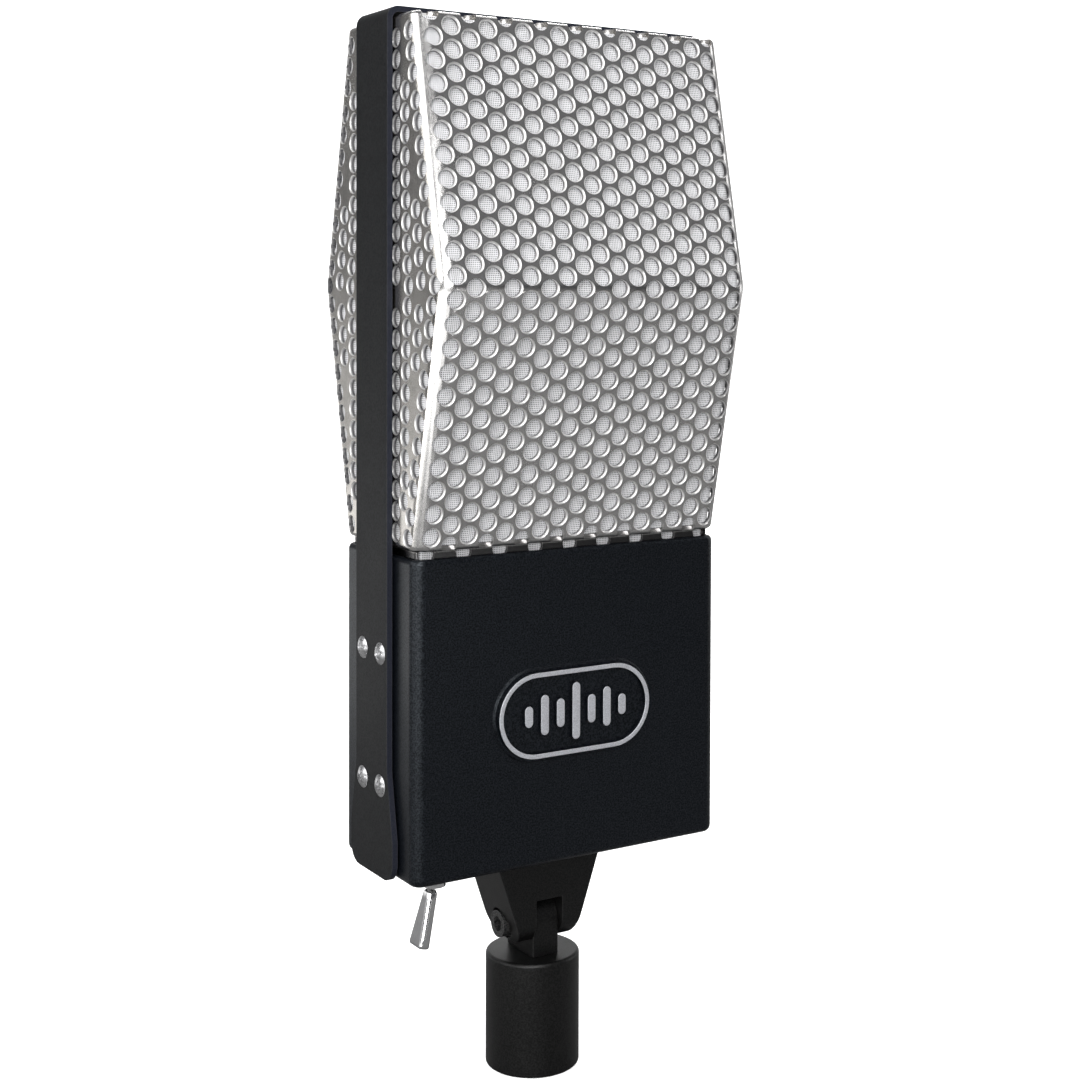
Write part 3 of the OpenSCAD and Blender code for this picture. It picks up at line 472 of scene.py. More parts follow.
def drop(ob):
    me = ob.data
    bpy.data.objects.remove(ob)
    bpy.data.meshes.remove(me)


def carve(ob, tool, op="DIFFERENCE", solver="MANIFOLD"):
    m = ob.modifiers.new("carve", "BOOLEAN")
    m.operation = op
    m.solver = solver
    m.object = tool
    before = len(ob.data.polygons)
    baked(ob)
    return len(ob.data.polygons) - before


def smooth(ob, angle=38.0):
    """Smooth shading that leaves flats flat: sharp edges by angle, normals weighted by face area."""
    me = ob.data
    me.polygons.foreach_set("use_smooth", [True] * len(me.polygons))
    me.set_sharp_from_angle(angle=math.radians(angle))
    w = ob.modifiers.new("normals", "WEIGHTED_NORMAL")
    w.mode = "FACE_AREA"
    w.weight = 90
    w.keep_sharp = True
    return ob


def ring_solid(name, rings, mat=None):
    """Closed solid through rings of equal point count, capped at both ends."""
    n = len(rings[0])
    verts = [p for r in rings for p in r]
    faces = []
    for i in range(len(rings) - 1):
        a, b = i * n, (i + 1) * n
        for j in range(n):
            k = (j + 1) % n
            faces.append((a + j, a + k, b + k, b + j))
    faces.append(tuple(range(n - 1, -1, -1)))
    faces.append(tuple((len(rings) - 1) * n + j for j in range(n)))
    return mesh_obj(name, verts, faces, mat)


def lathe(name, prof, mat, seg=96, axis="Z", at=(0, 0, 0), a0=0.0, body=None):
    """Turned solid from a closed or axis-to-axis profile of (r, t)."""
    verts, faces, idx = [], [], []
    for r, t in prof:
        if r < 1e-6:
            idx.append([len(verts)] * seg)
            verts.append((0.0, 0.0, t))
        else:
            base = len(verts)
            idx.append(list(range(base, base + seg)))
            for j in range(seg):
                a = a0 + 2 * math.pi * j / seg
                verts.append((r * math.cos(a), r * math.sin(a), t))
    closed = prof[0][0] > 1e-6 and prof[-1][0] > 1e-6
    pairs = [(i, i + 1) for i in range(len(prof) - 1)] + ([(len(prof) - 1, 0)] if closed else [])
    for i, k in pairs:
        for j in range(seg):
            q = [idx[i][j], idx[i][(j + 1) % seg], idx[k][(j + 1) % seg], idx[k][j]]
            f = [v for m, v in enumerate(q) if v not in q[:m]]
            if len(f) > 2:
                faces.append(f)
    out = []
    for x, y, z in verts:
        if axis == "X":
            x, y, z = z, x, y
        elif axis == "Y":
            x, y, z = y, z, x
        out.append((x + at[0], y + at[1], z + at[2]))
    return mesh_obj(name, out, faces, mat, body)


def soften(ob, width=0.25, segs=2, angle=32.0, weld=True):
    """Rounds the edges of a CAD node without touching its mesh: modifiers only."""
    if weld:
        m = ob.modifiers.new("weld", "WELD")
        m.merge_threshold = 0.000002
        d = ob.modifiers.new("planar", "DECIMATE")
        d.decimate_type = "DISSOLVE"
        d.angle_limit = math.radians(0.6)
    if width > 0:
        b = ob.modifiers.new("edge", "BEVEL")
        b.width = width * MM
        b.segments = segs
        b.limit_method = "ANGLE"
        b.angle_limit = math.radians(angle)
        b.use_clamp_overlap = True
        b.harden_normals = False
    w = ob.modifiers.new("normals", "WEIGHTED_NORMAL")
    w.mode = "FACE_AREA"
    w.weight = 90
    w.keep_sharp = True
    return ob


# ------------------------------------------------------------------ grille halves

(glo, ghi) = nbox("front_grille")
(clo, chi) = nbox("front_cover")
HW = ghi[0]
RIDGE_D = -glo[1]
TOP = ghi[2]
NECK_BOT = glo[2]
LEDGE = chi[2] + 2.0
END_D = 22.0
RIDGE_Z = 221.4
R_CREASE, R_RIDGE, R_TOP, R_BOT = 4.6, 9.0, 1.3, 1.6
SHEET = 1.2
UP = math.atan2(RIDGE_D - END_D, TOP - RIDGE_Z)
DN = math.atan2(RIDGE_D - END_D, RIDGE_Z - LEDGE)
NECK_X, NECK_Y, R_NECK = 47.0, 20.1, 2.2


def fold_y(z, o=0.0):
    """Depth of the front sheet at height z, with the ridge rounded, sheet inset by o."""
    lz = R_RIDGE
    up_l, dn_l = lz * math.tan(UP / 2 + DN / 2) * 0.5, lz * math.tan(UP / 2 + DN / 2) * 0.5
    d_up = RIDGE_D - (z - RIDGE_Z) * math.tan(UP) - o / math.cos(UP)
    d_dn = RIDGE_D - (RIDGE_Z - z) * math.tan(DN) - o / math.cos(DN)
    span = lz * math.sin((UP + DN) / 2)
    t = (z - RIDGE_Z) / span
    if t >= 1:
        return d_up
    if t <= -1:
        return d_dn
    k = span * (math.tan(UP) + math.tan(DN)) / 4.0
    lin = RIDGE_D - o / math.cos(UP) - (z - RIDGE_Z) * (math.tan(UP) - math.tan(DN)) / 2.0
    return lin - k * (1 + t * t)


def half_ring(hx, hy, r, z, yb, n_arc=9):
    """Front half of a rounded rectangle at height z, closed by the straight back at y = yb."""
    r = max(min(r, hx - 0.1, hy + yb - 0.1), 0.05)
    pts = [(-hx, yb, z)]
    for i in range(n_arc):
        a = math.radians(90.0 * i / (n_arc - 1))
        pts.append((-(hx - r) - r * math.cos(a), -(hy - r) - r * math.sin(a), z))
    for i in range(n_arc):
        a = math.radians(90.0 - 90.0 * i / (n_arc - 1))
        pts.append(((hx - r) + r * math.cos(a), -(hy - r) - r * math.sin(a), z))
    pts.append((hx, yb, z))
    return pts


def grille_rings(o, yb, neck=True, n_arc=9, low=0.0):
    """Rings of the grille half from its neck up to its top, inset by o."""
    rc = R_CREASE - o
    rt, rb = max(R_TOP - o, 0.15), max(R_BOT - o, 0.15)
    hx = HW - o
    rings = []
    z0, z1 = LEDGE + o, TOP - o
    # lower bend: centre one radius above the ledge
    zb = z0 + rb
    yb_c = fold_y(zb, o) - rb / math.cos(DN) + 0.0
    if neck:
        nx, ny, nr = NECK_X - o, NECK_Y - o, R_NECK - min(o, 1.6)
        rings.append(half_ring(nx, ny, nr, NECK_BOT - low, yb, n_arc))
        rings.append(half_ring(nx, ny, nr, z0 - 0.35 + o * 0.0, yb, n_arc))
        rings.append(half_ring(nx + 0.03, ny + 0.08, nr + 0.05, z0 - 0.12, yb, n_arc))
        rings.append(half_ring(nx + 0.08, ny + 0.3, nr + 0.15, z0, yb, n_arc))
    fr = [90 - 15 * i for i in range(7)]
    for f in fr:
        a = math.radians(f)
        z = zb - rb * math.sin(a)
        side = hx - rb + rb * math.cos(a)
        ang = math.radians(90) - (math.radians(90) - DN) * (90 - f) / 90.0
        zz = zb - rb * math.sin(a)
        # the front's own bend ends where it meets the sloping sheet
        if zz >= zb - rb * math.sin(DN):
            y = fold_y(zz, o)
        else:
            y = yb_c + math.sqrt(max(rb * rb - (zb - zz) ** 2, 0.0))
        rings.append(half_ring(side, y, rc - (hx - side), z, yb, n_arc))
    zt = z1 - rt
    span = R_RIDGE * math.sin((UP + DN) / 2)
    zs = [RIDGE_Z + span * t for t in (-1, -0.66, -0.33, 0, 0.33, 0.66, 1)]
    # extra levels, so that no one face has to carry hundreds of holes
    zs = [zb + (zs[0] - zb) * k / 6 for k in range(1, 6)] + zs + [zs[-1] + (zt - zs[-1]) * k / 6 for k in range(1, 6)]
    for z in zs:
        rings.append(half_ring(hx, fold_y(z, o), rc, z, yb, n_arc))
    yt_c = fold_y(zt, o) - rt / math.cos(UP)
    for i in range(7):
        a = math.radians(15 * i)
        z = zt + rt * math.sin(a)
        side = hx - rt + rt * math.cos(a)
        if z <= zt + rt * math.sin(UP):
            y = fold_y(z, o)
        else:
            y = yt_c + math.sqrt(max(rt * rt - (z - zt) ** 2, 0.0))
        rings.append(half_ring(side, y, rc - (hx - side), z, yb, n_arc))
    return rings


HOLE_R, LIP, SIDE_LIP = 2.38, 0.52, 0.30
PITCH_X, PITCH_V = 5.4993, 3.175
X_FIRST = -16.74


def profile_points():
    """Outer profile of the front half as a polyline (length from the ridge, y, z, ny, nz)."""
    up, dn = [], []
    zt, rt = TOP - R_TOP, R_TOP
    yc = -(fold_y(zt) - rt / math.cos(UP))
    up.append((-fold_y(RIDGE_Z), RIDGE_Z))
    z_end = zt + rt * math.sin(UP)
    for i in range(1, 41):
        z = RIDGE_Z + (z_end - RIDGE_Z) * i / 40
        up.append((-fold_y(z), z))
    for i in range(1, 9):
        a = UP + (math.pi / 2 - UP) * i / 8
        up.append((yc - rt * math.cos(a), zt + rt * math.sin(a)))
    up.append((-0.2, TOP))
    zb, rb = LEDGE + R_BOT, R_BOT
    ycb = -(fold_y(zb) - rb / math.cos(DN))
    z_end = zb - rb * math.sin(DN)
    dn.append((-fold_y(RIDGE_Z), RIDGE_Z))
    for i in range(1, 41):
        z = RIDGE_Z - (RIDGE_Z - z_end) * i / 40
        dn.append((-fold_y(z), z))
    for i in range(1, 9):
        a = DN + (math.pi / 2 - DN) * i / 8
        dn.append((ycb - rb * math.cos(a), zb - rb * math.sin(a)))
    return up, dn


def along(poly, s):
    acc = 0.0
    for i in range(len(poly) - 1):
        a, b = poly[i], poly[i + 1]
        seg = math.hypot(b[0] - a[0], b[1] - a[1])
        if acc + seg >= s or i == len(poly) - 2:
            f = (s - acc) / seg
            y = a[0] + (b[0] - a[0]) * f
            z = a[1] + (b[1] - a[1]) * f
            ty, tz = (b[0] - a[0]) / seg, (b[1] - a[1]) / seg
            return y, z, ty, tz
        acc += seg
    return None


def arc_len(poly):
    return sum(math.hypot(poly[i + 1][0] - poly[i][0], poly[i + 1][1] - poly[i][1]) for i in range(len(poly) - 1))


def cutter_mesh(name, holes, seg=26):
    """One object made of a separate flared punch per hole: (centre, axis out, outer reach, depth, lip)."""
    verts, faces = [], []
    for c, n, reach, depth, lip, *floor_z in holes:
        c, n = np.array(c, float), np.array(n, float)
        n /= np.linalg.norm(n)
        h = np.array([0, 0, 1.0]) if abs(n[2]) < 0.8 else np.array([1.0, 0, 0])
        a = np.cross(n, h)
        a /= np.linalg.norm(a)
        b = np.cross(n, a)
        prof = [(HOLE_R + lip + 0.012, reach)]
        if lip > 0:
            prof.append((HOLE_R + lip + 0.002, 0.012))
            for al in (28, 56, 90):
                al = math.radians(al)
                prof.append((HOLE_R + lip * (1 - math.sin(al)), -lip * (1 - math.cos(al))))
        prof.append((HOLE_R, -depth))
        base = len(verts)
        for r, t in prof:
            for j in range(seg):
                an = 2 * math.pi * (j + 0.5) / seg
                q = c + n * t + a * (r * math.cos(an)) + b * (r * math.sin(an))
                if floor_z:
                    q[2] = max(q[2], floor_z[0])
                verts.append(q)
        m = len(prof)
        for i in range(m - 1):
            for j in range(seg):
                k = (j + 1) % seg
                faces.append((base + i * seg + j, base + i * seg + k, base + (i + 1) * seg + k, base + (i + 1) * seg + j))
        faces.append(tuple(base + j for j in range(seg - 1, -1, -1)))
        faces.append(tuple(base + (m - 1) * seg + j for j in range(seg)))
    return mesh_obj(name, verts, faces, None)


def front_holes(flange=False):
    up, dn = profile_points()
    l_up_flat = arc_len(up[:41])
    l_dn = arc_len(dn)
    l_dn_flat = arc_len(dn[:41])
    holes = []
    for c in range(-5, 12):
        x = X_FIRST + PITCH_X * c
        for k in range(-12, 43):
            if (c + k) % 2 or (k <= -6) != flange:
                continue
            s = PITCH_V * k - 56.64
            if s <= 0:
                l = -s
                if k <= -6:
                    # on the top flange
                    y = -END_D + (l - (TOP - RIDGE_Z) / math.cos(UP)) + 0.33
                    if y > -3.2:
                        continue
                    holes.append(((x, y, TOP), (0, 0, 1), 0.8, 2.2, LIP))
                    continue
                y, z, ty, tz = along(up, l)
                n = (0.0, -tz, ty)
                bend = l > l_up_flat - 1.2
                if abs(l) < 0.01:
                    n = (0, -1, 0)
                if bend:
                    a = math.radians(40)
                    holes.append(((x, -END_D + 0.35, TOP - 0.35), (0, -math.cos(a), math.sin(a)), 1.6, 2.6, 0.0))
                else:
                    holes.append(((x, y, z), n, 0.8, 2.1, LIP))
            else:
                l = s
                if k == 40:
                    y, z, ty, tz = along(dn, l_dn_flat - 0.4)
                    holes.append(((x, y, LEDGE + 1.6), (0.0, tz, -ty), 0.8, 1.75, 0.0, LEDGE + 0.22))
                    continue
                if k == 41:
                    holes.append(((x, -NECK_Y, LEDGE - 0.75), (0, -1, 0), 0.75, 2.0, 0.0))
                    continue
                if k > 41:
                    continue
                y, z, ty, tz = along(dn, l)
                n = (0.0, tz, -ty)
                holes.append(((x, y, z), n, 0.8, 2.1, LIP))
    return holes


# rows of the side walls as heights above or below the ridge
SIDE_D = [65.3, 59.65, 54.0, 48.3, 42.6, 36.9, 31.2, 25.5, 19.8, 14.1, 8.4, 2.7]
SIDE_C_UP = [66.4, 60.9, 55.2, 47.9, 42.3, 36.1, 30.0, 24.1, 17.5, 11.2, 5.2]
SIDE_C_DN = [66.2, 60.5, 53.0, 47.6, 41.6, 35.6, 29.9, 24.1, 17.5, 11.2, 5.2]
SIDE_B = [(56.6, 15.1), (51.0, 15.9), (45.3, 15.8), (39.6, 15.9), (33.8, 16.0), (28.1, 16.2), (22.4, 16.3), (16.7, 16.5), (11.0, 16.9), (5.4, 17.2)]
SIDE_A = [(19.8, 22.0), (13.5, 23.0), (7.4, 23.9)]


def side_holes():
    out = []
    for sx in (-1, 1):
        pts = []
        for o in SIDE_D:
            pts.append((10.5, RIDGE_Z + o))
            if o > 6:
                pts.append((10.5, RIDGE_Z - o))
        for sgn, offs in ((1, SIDE_C_UP), (-1, SIDE_C_DN)):
            for o in offs:
                z = RIDGE_Z + sgn * o
                pts.append((fold_y(z) - 5.25, z))
        pts.append((fold_y(RIDGE_Z) - 4.6, RIDGE_Z + 0.1))
        for o, y in SIDE_B:
            if not (o > 56):
                pts.append((y, RIDGE_Z + o))
            pts.append((y, RIDGE_Z - o))
        pts.append((18.0, RIDGE_Z))
        for o, y in SIDE_A:
            for s in (1, -1):
                pts.append((y, RIDGE_Z + s * o))
        pts.append((25.1, RIDGE_Z + 1.3))
        for y, z in pts:
            out.append(((sx * HW, -y, z), (sx, 0, 0), 0.8, 2.2, SIDE_LIP))
    return out


def mark_lips(ob, holes):
    """Point attributes that mark the lip of each punched hole, for a painted highlight, and the wall behind it, for
    painted shade.
    """
    kd = KDTree(len(holes))
    for i, h in enumerate(holes):
        kd.insert(h[0], i)
    kd.balance()
    me = ob.data
    n = len(me.vertices)
    co = np.empty(n * 3)
    me.vertices.foreach_get("co", co)
    co = co.reshape(n, 3) / MM
    lip, wall = np.zeros(n), np.zeros(n)
    axes = []
    for h in holes:
        ax = np.array(h[1], float)
        axes.append(ax / np.linalg.norm(ax))
    for j in range(n):
        c, i, d = kd.find(co[j])
        if d > 4.5:
            continue
        h, ax = holes[i], axes[i]
        if h[4] <= 0 and len(h) < 6:
            continue
        if len(h) > 5:
            lip[j], wall[j] = 0.6, 0.32
            continue
        v = co[j] - np.array(h[0], float)
        t = float(v @ ax)
        r = float(np.linalg.norm(v - ax * t))
        if t < -2.3 or t > 0.05:
            continue
        if t < -h[4] - 0.05:
            if abs(r - HOLE_R) < 0.03:
                wall[j] = 1.0
            continue
        bend = math.acos(min(max(1 + t / h[4], 0.0), 1.0))
        if abs(r - HOLE_R - h[4] * (1 - math.sin(bend))) < 0.06:
            lip[j] = min(max((HOLE_R + h[4] - r) / h[4] / 0.47, 0.0), 1.0)
    # only the faces that look in towards a hole's own axis take the marks
    nl = len(me.loops)
    clip_highlight, cwall = np.zeros(nl), np.zeros(nl)
    for p in me.polygons:
        vs = list(p.vertices)
        if not (lip[vs].any() or wall[vs].any()):
            continue
        cen = np.array(p.center) / MM
        c, i, d = kd.find(cen)
        v = cen - np.array(holes[i][0], float)
        rad = v - axes[i] * float(v @ axes[i])
        rad /= max(float(np.linalg.norm(rad)), 1e-6)
        if float(np.array(p.normal) @ rad) > -0.12:
            continue
        ls = np.arange(p.loop_start, p.loop_start + p.loop_total)
        clip_highlight[ls] = lip[vs]
        cwall[ls] = wall[vs]
    # the lip values drive a painted highlight, the wall values painted shade
    for key, val in (("lip", clip_highlight), ("wall", cwall)):
        at = me.attributes.new(key, "FLOAT", "CORNER")
        at.data.foreach_set("value", val)


def make_grille_half(name, body, mat):
    outer = ring_solid("tmp_outer", grille_rings(0.0, -0.15))
    inner = ring_solid("tmp_inner", grille_rings(SHEET, 1.5, low=2.0))
    carve(outer, inner)
    drop(inner)
    for holes, tag in ((front_holes(), "front"), (front_holes(True), "flange"), (side_holes(), "side")):
        tool = cutter_mesh("tmp_" + tag, holes)
        got = carve(outer, tool)
        print("perforated", name, tag, len(holes), "holes, faces", len(outer.data.polygons), "change", got)
        drop(tool)
    mark_lips(outer, front_holes() + front_holes(True) + side_holes())
    outer.name = name
    outer.data.name = name
    outer.data.materials.clear()
    outer.data.materials.append(mat)
    return outer


def mirrored_y(ob, name):
    me = ob.data.copy()
    me.transform(Matrix.Scale(-1, 4, (0, 1, 0)))
    me.flip_normals()
    o2 = bpy.data.objects.new(name, me)
    me.name = name
    bpy.context.scene.collection.objects.link(o2)
    return o2


fg = make_grille_half("grille_front", "head", M["grille_plate"])
rg = mirrored_y(fg, "grille_rear")
for ob, node in ((fg, "front_grille"), (rg, "rear_grille")):
    smooth(ob, 36)
    # long slivers between the side walls' holes keep the wall's own normal
    ob.data.polygons.foreach_set("use_smooth", [abs(p.normal.x) < 0.9999 for p in ob.data.polygons])
    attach(ob, "head")
    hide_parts(node)

# gauze, close behind the sheet
g_out = ring_solid("tmp_gauze", grille_rings(SHEET + 0.22, -0.3, n_arc=7))
g_in = ring_solid("tmp_gauze_in", grille_rings(SHEET + 0.40, 1.5, n_arc=7, low=2.0))
carve(g_out, g_in)
drop(g_in)
g_out.name = g_out.data.name = "gauze_front"
g_out.data.materials.clear()
g_out.data.materials.append(M["gauze_wire"])
g_rear = mirrored_y(g_out, "gauze_rear")
for ob, node in ((g_out, "front_gauze"), (g_rear, "rear_gauze")):
    smooth(ob, 36)
    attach(ob, "head")
    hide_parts(node)

# ------------------------------------------------------------------ covers

COV_HW, COV_HD, COV_Z0, COV_Z1 = chi[0], -clo[1], clo[2], chi[2]
COV_R, COV_T, COV_E = 3.5, 1.4, 1.5


def cover_rings(o, yb, top_open=0.0, low=0.0):
    hx, hy, r = COV_HW - o, COV_HD - o, max(COV_R - o, 0.4)
    rb = max(2.0 - o, 0.3)
    z0 = COV_Z0 + o
    rings = []
    for i in range(7):
        a = math.radians(90 - 15 * i)
        e = rb * (1 - math.cos(a))
        rings.append(half_ring(hx - e, hy - e, r - e if r - e > 0.3 else 0.3, z0 + rb * (1 - math.sin(a)), yb, 13))
    if o == 0.0:
        # rolled top edge
        for i in range(7):
            a = math.radians(15 * i)
            e = COV_E * (1 - math.cos(a))
            rings.append(half_ring(hx - e * 0.75, hy - e * 0.75, r - e * 0.75, COV_Z1 - COV_E + COV_E * math.sin(a), yb, 13))
    else:
        rings.append(half_ring(hx, hy, r, COV_Z1 - 0.35, yb, 13))
        rings.append(half_ring(hx + 0.1, hy + 0.1, r, COV_Z1 - 0.1, yb, 13))
        rings.append(half_ring(hx + 0.15, hy + 0.15, r, COV_Z1 + 2, yb, 13))
    return rings


def make_cover(name):
    ob = ring_solid(name, cover_rings(0.0, -0.1))
    ins = ring_solid("tmp_ci", cover_rings(COV_T, 1.0))
    carve(ob, ins)
    drop(ins)
    # opening for the base plate, with the side walls ending a little above the folded bottom
    y1 = 13.8
    box = [(x, y, z) for x in (-COV_HW + COV_T, COV_HW - COV_T) for y in (-y1, 1.0) for z in (COV_Z0 - 2, COV_Z0 + 3)]
    fc = [(0, 1, 3, 2), (4, 6, 7, 5), (0, 4, 5, 1), (2, 3, 7, 6), (0, 2, 6, 4), (1, 5, 7, 3)]
    tool = mesh_obj("tmp_b", box, fc, None)
    carve(ob, tool)
    drop(tool)
    for s in (-1, 1):
        xs = sorted((s * (COV_HW - COV_T - 0.2), s * (COV_HW + 1)))
        box = [(x, y, z) for x in xs for y in (-COV_HD + COV_R, 1.0) for z in (COV_Z0 - 1, COV_Z0 + 0.6)]
        tool = mesh_obj("tmp_b", box, fc, None)
        carve(ob, tool)
        drop(tool)
    # clearance holes of the strap screws
    prof = [(1.65, -3.0), (1.65, 3.0)]
    for s in (-1, 1):
        for z in (87.7, 123.2):
            tool = lathe("tmp_h", [(0, -3), (1.65, -3), (1.65, 3), (0, 3)], None, 24, "X", (s * COV_HW, -5.4, z))
            carve(ob, tool)
            drop(tool)
    ob.data.materials.clear()
    ob.data.materials.append(M["cover_coat"])
    return ob


fc_ob = make_cover("cover_front")
rc_ob = mirrored_y(fc_ob, "cover_rear")
for ob, node in ((fc_ob, "front_cover"), (rc_ob, "rear_cover")):
    smooth(ob, 36)
    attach(ob, "head")
    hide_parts(node)

# ------------------------------------------------------------------ badge

(blo, bhi) = nbox("badge_plate")
B_CX, B_CZ = (blo[0] + bhi[0]) / 2, (blo[2] + bhi[2]) / 2
B_W, B_H = bhi[0] - blo[0], bhi[2] - blo[2]
B_Y0, B_Y1 = -COV_HD, blo[1]


def stadium(w, h, n=20):
    r = h / 2
    pts = []
    for i in range(n + 1):
        a = -math.pi / 2 + math.pi * i / n
        pts.append((w / 2 - r + r * math.cos(a), r * math.sin(a)))
    for i in range(n + 1):
        a = math.pi / 2 + math.pi * i / n
        pts.append((-w / 2 + r + r * math.cos(a), r * math.sin(a)))
    return pts


def relief(name, shapes, mat, body="head"):
    """Raised shapes on the front: each is (outer outline function of inset, [(inset, y)...], inner or None)."""
    verts, faces = [], []
    for outline, steps, hole in shapes:
        if hole is None:
            loops = [[(x + B_CX, y, z + B_CZ) for x, z in outline(i)] for i, y in steps]
            n = len(loops[0])
            base = len(verts)
            for lp in loops:
                verts += lp
            for a in range(len(loops) - 1):
                for j in range(n):
                    k = (j + 1) % n
                    faces.append((base + a * n + j, base + a * n + k, base + (a + 1) * n + k, base + (a + 1) * n + j))
            faces.append(tuple(base + (len(loops) - 1) * n + j for j in range(n)))
            faces.append(tuple(base + j for j in range(n - 1, -1, -1)))
        else:
            # frame: up the outside, over the top and down the inside
            loops = [[(x + B_CX, y, z + B_CZ) for x, z in outline(i)] for i, y in steps]
            loops += [[(x + B_CX, y, z + B_CZ) for x, z in hole(i)] for i, y in reversed(steps)]
            n = len(loops[0])
            base = len(verts)
            for lp in loops:
                verts += lp
            for a in range(len(loops)):
                b = (a + 1) % len(loops)
                for j in range(n):
                    k = (j + 1) % n
                    faces.append((base + a * n + j, base + a * n + k, base + b * n + k, base + b * n + j))
    ob = mesh_obj(name, verts, faces, mat)
    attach(ob, body)
    return ob


def round_steps(y0, y1, flank, r, n=4):
    """(inset, y) from the foot of a raised shape to its top: a sloping flank, then a rounded shoulder."""
    out = [(0.0, y0)]
    h = abs(y1 - y0)
    s = -1 if y1 < y0 else 1
    for i in range(n + 1):
        a = math.radians(90.0 * i / n)
        out.append((flank + r * (1 - math.cos(a)), y0 + s * (h - r + r * math.sin(a))))
    return out


field_y = B_Y0 - (abs(B_Y1 - B_Y0) - 0.6) * 0.55
base_steps = round_steps(B_Y0 + 0.1, field_y, 0.35, 0.35)
badge_base = relief("badge_base", [(lambda i: stadium(B_W - 2 * i, B_H - 2 * i), base_steps, None)], M["cover_coat"])
top_y = B_Y1
rim_in = 1.1
RIM_W = 1.7
BARS = [(-15, 0.22), (-10, 0.42), (-5, 0.3), (0, 0.6), (5, 0.3), (10, 0.42), (15, 0.22)]


def bar_outline(cx, hh):
    def f(i):
        return [(cx + x, z) for z, x in [(p[0], p[1]) for p in stadium(hh - 2 * i, max(2.9 - 2 * i, 0.3), 8)]]
    return f


skirt = []
silver = []
sk_steps = round_steps(field_y + 0.2, top_y + 0.12, 0.12, 0.12)
sv_steps = [(0.0, top_y + 0.14)] + [(0.0 + 0.14 * (1 - math.cos(math.radians(a))), top_y + 0.14 - 0.14 * math.sin(math.radians(a))) for a in (30, 60, 90)]
skirt.append((lambda i: stadium(B_W - 2 * rim_in - 2 * i, B_H - 2 * rim_in - 2 * i), sk_steps,
              lambda i: stadium(B_W - 2 * (rim_in + RIM_W) + 2 * i, B_H - 2 * (rim_in + RIM_W) + 2 * i)))
silver.append((lambda i: stadium(B_W - 2 * rim_in - 0.45 - 2 * i, B_H - 2 * rim_in - 0.45 - 2 * i), sv_steps,
               lambda i: stadium(B_W - 2 * (rim_in + RIM_W) + 0.45 + 2 * i, B_H - 2 * (rim_in + RIM_W) + 0.45 + 2 * i)))
for cx, frac in BARS:
    hh = B_H * frac + 0.5
    skirt.append((bar_outline(cx, hh), sk_steps, None))
    silver.append((lambda i, cx=cx, hh=hh: [(cx + x, z) for z, x in stadium(hh - 0.45 - 2 * i, 2.9 - 0.45 - 2 * i, 8)], sv_steps, None))
badge_skirt = relief("badge_relief", skirt, M["cover_coat"])
badge_top = relief("badge_silver", silver, M["badge_silver"])
for ob in (badge_base, badge_skirt, badge_top):
    smooth(ob, 50)
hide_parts("badge_plate")

# ------------------------------------------------------------------ stand adapter and its thread

(alo, ahi) = nbox("stand_adapter")
A_R, A_H = ahi[0], ahi[2]
THREAD = dict(r=7.48, z0=0.6, z1=19.6, pitch=0.9407)


def adapter_profile():
    e = 1.05
    pr = []
    # outer wall, lower rounding
    for i in range(6):
        a = math.radians(90 * i / 5)
        pr.append((A_R - 0.8 * (1 - math.sin(a)), 0.8 * (1 - math.cos(a))))
    for i in range(7):
        a = math.radians(90 * i / 6)
        pr.append((A_R - e * (1 - math.cos(a)), A_H - e + e * math.sin(a)))
    pr += [(3.25, A_H), (3.05, A_H - 0.2), (3.05, 24.05)]
    pr += [(6.4, 24.05), (6.4, THREAD["z1"])]
    # thread as rings: crests and roots of the internal thread
    p = THREAD["pitch"]
    z = THREAD["z1"] - 0.2
    pr.append((THREAD["r"], THREAD["z1"]))
    while z - p > THREAD["z0"] + 0.5:
        pr += [(THREAD["r"], z), (THREAD["r"] + 0.0, z - p * 0.12), (THREAD["r"] + 0.46, z - p * 0.46), (THREAD["r"] + 0.46, z - p * 0.54), (THREAD["r"], z - p * 0.88)]
        z -= p
    pr += [(THREAD["r"], 0.9), (8.1, 0.0)]
    return pr


adapter = lathe("stand_barrel", adapter_profile(), M["mount_black"], 128)
smooth(adapter, 30)
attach(adapter, "foot")
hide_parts("stand_adapter")

# ------------------------------------------------------------------ toggle lever

LEAN = math.radians(14.0)
SW = (-36.2, -9.0, 62.2)
LEN = 19.2


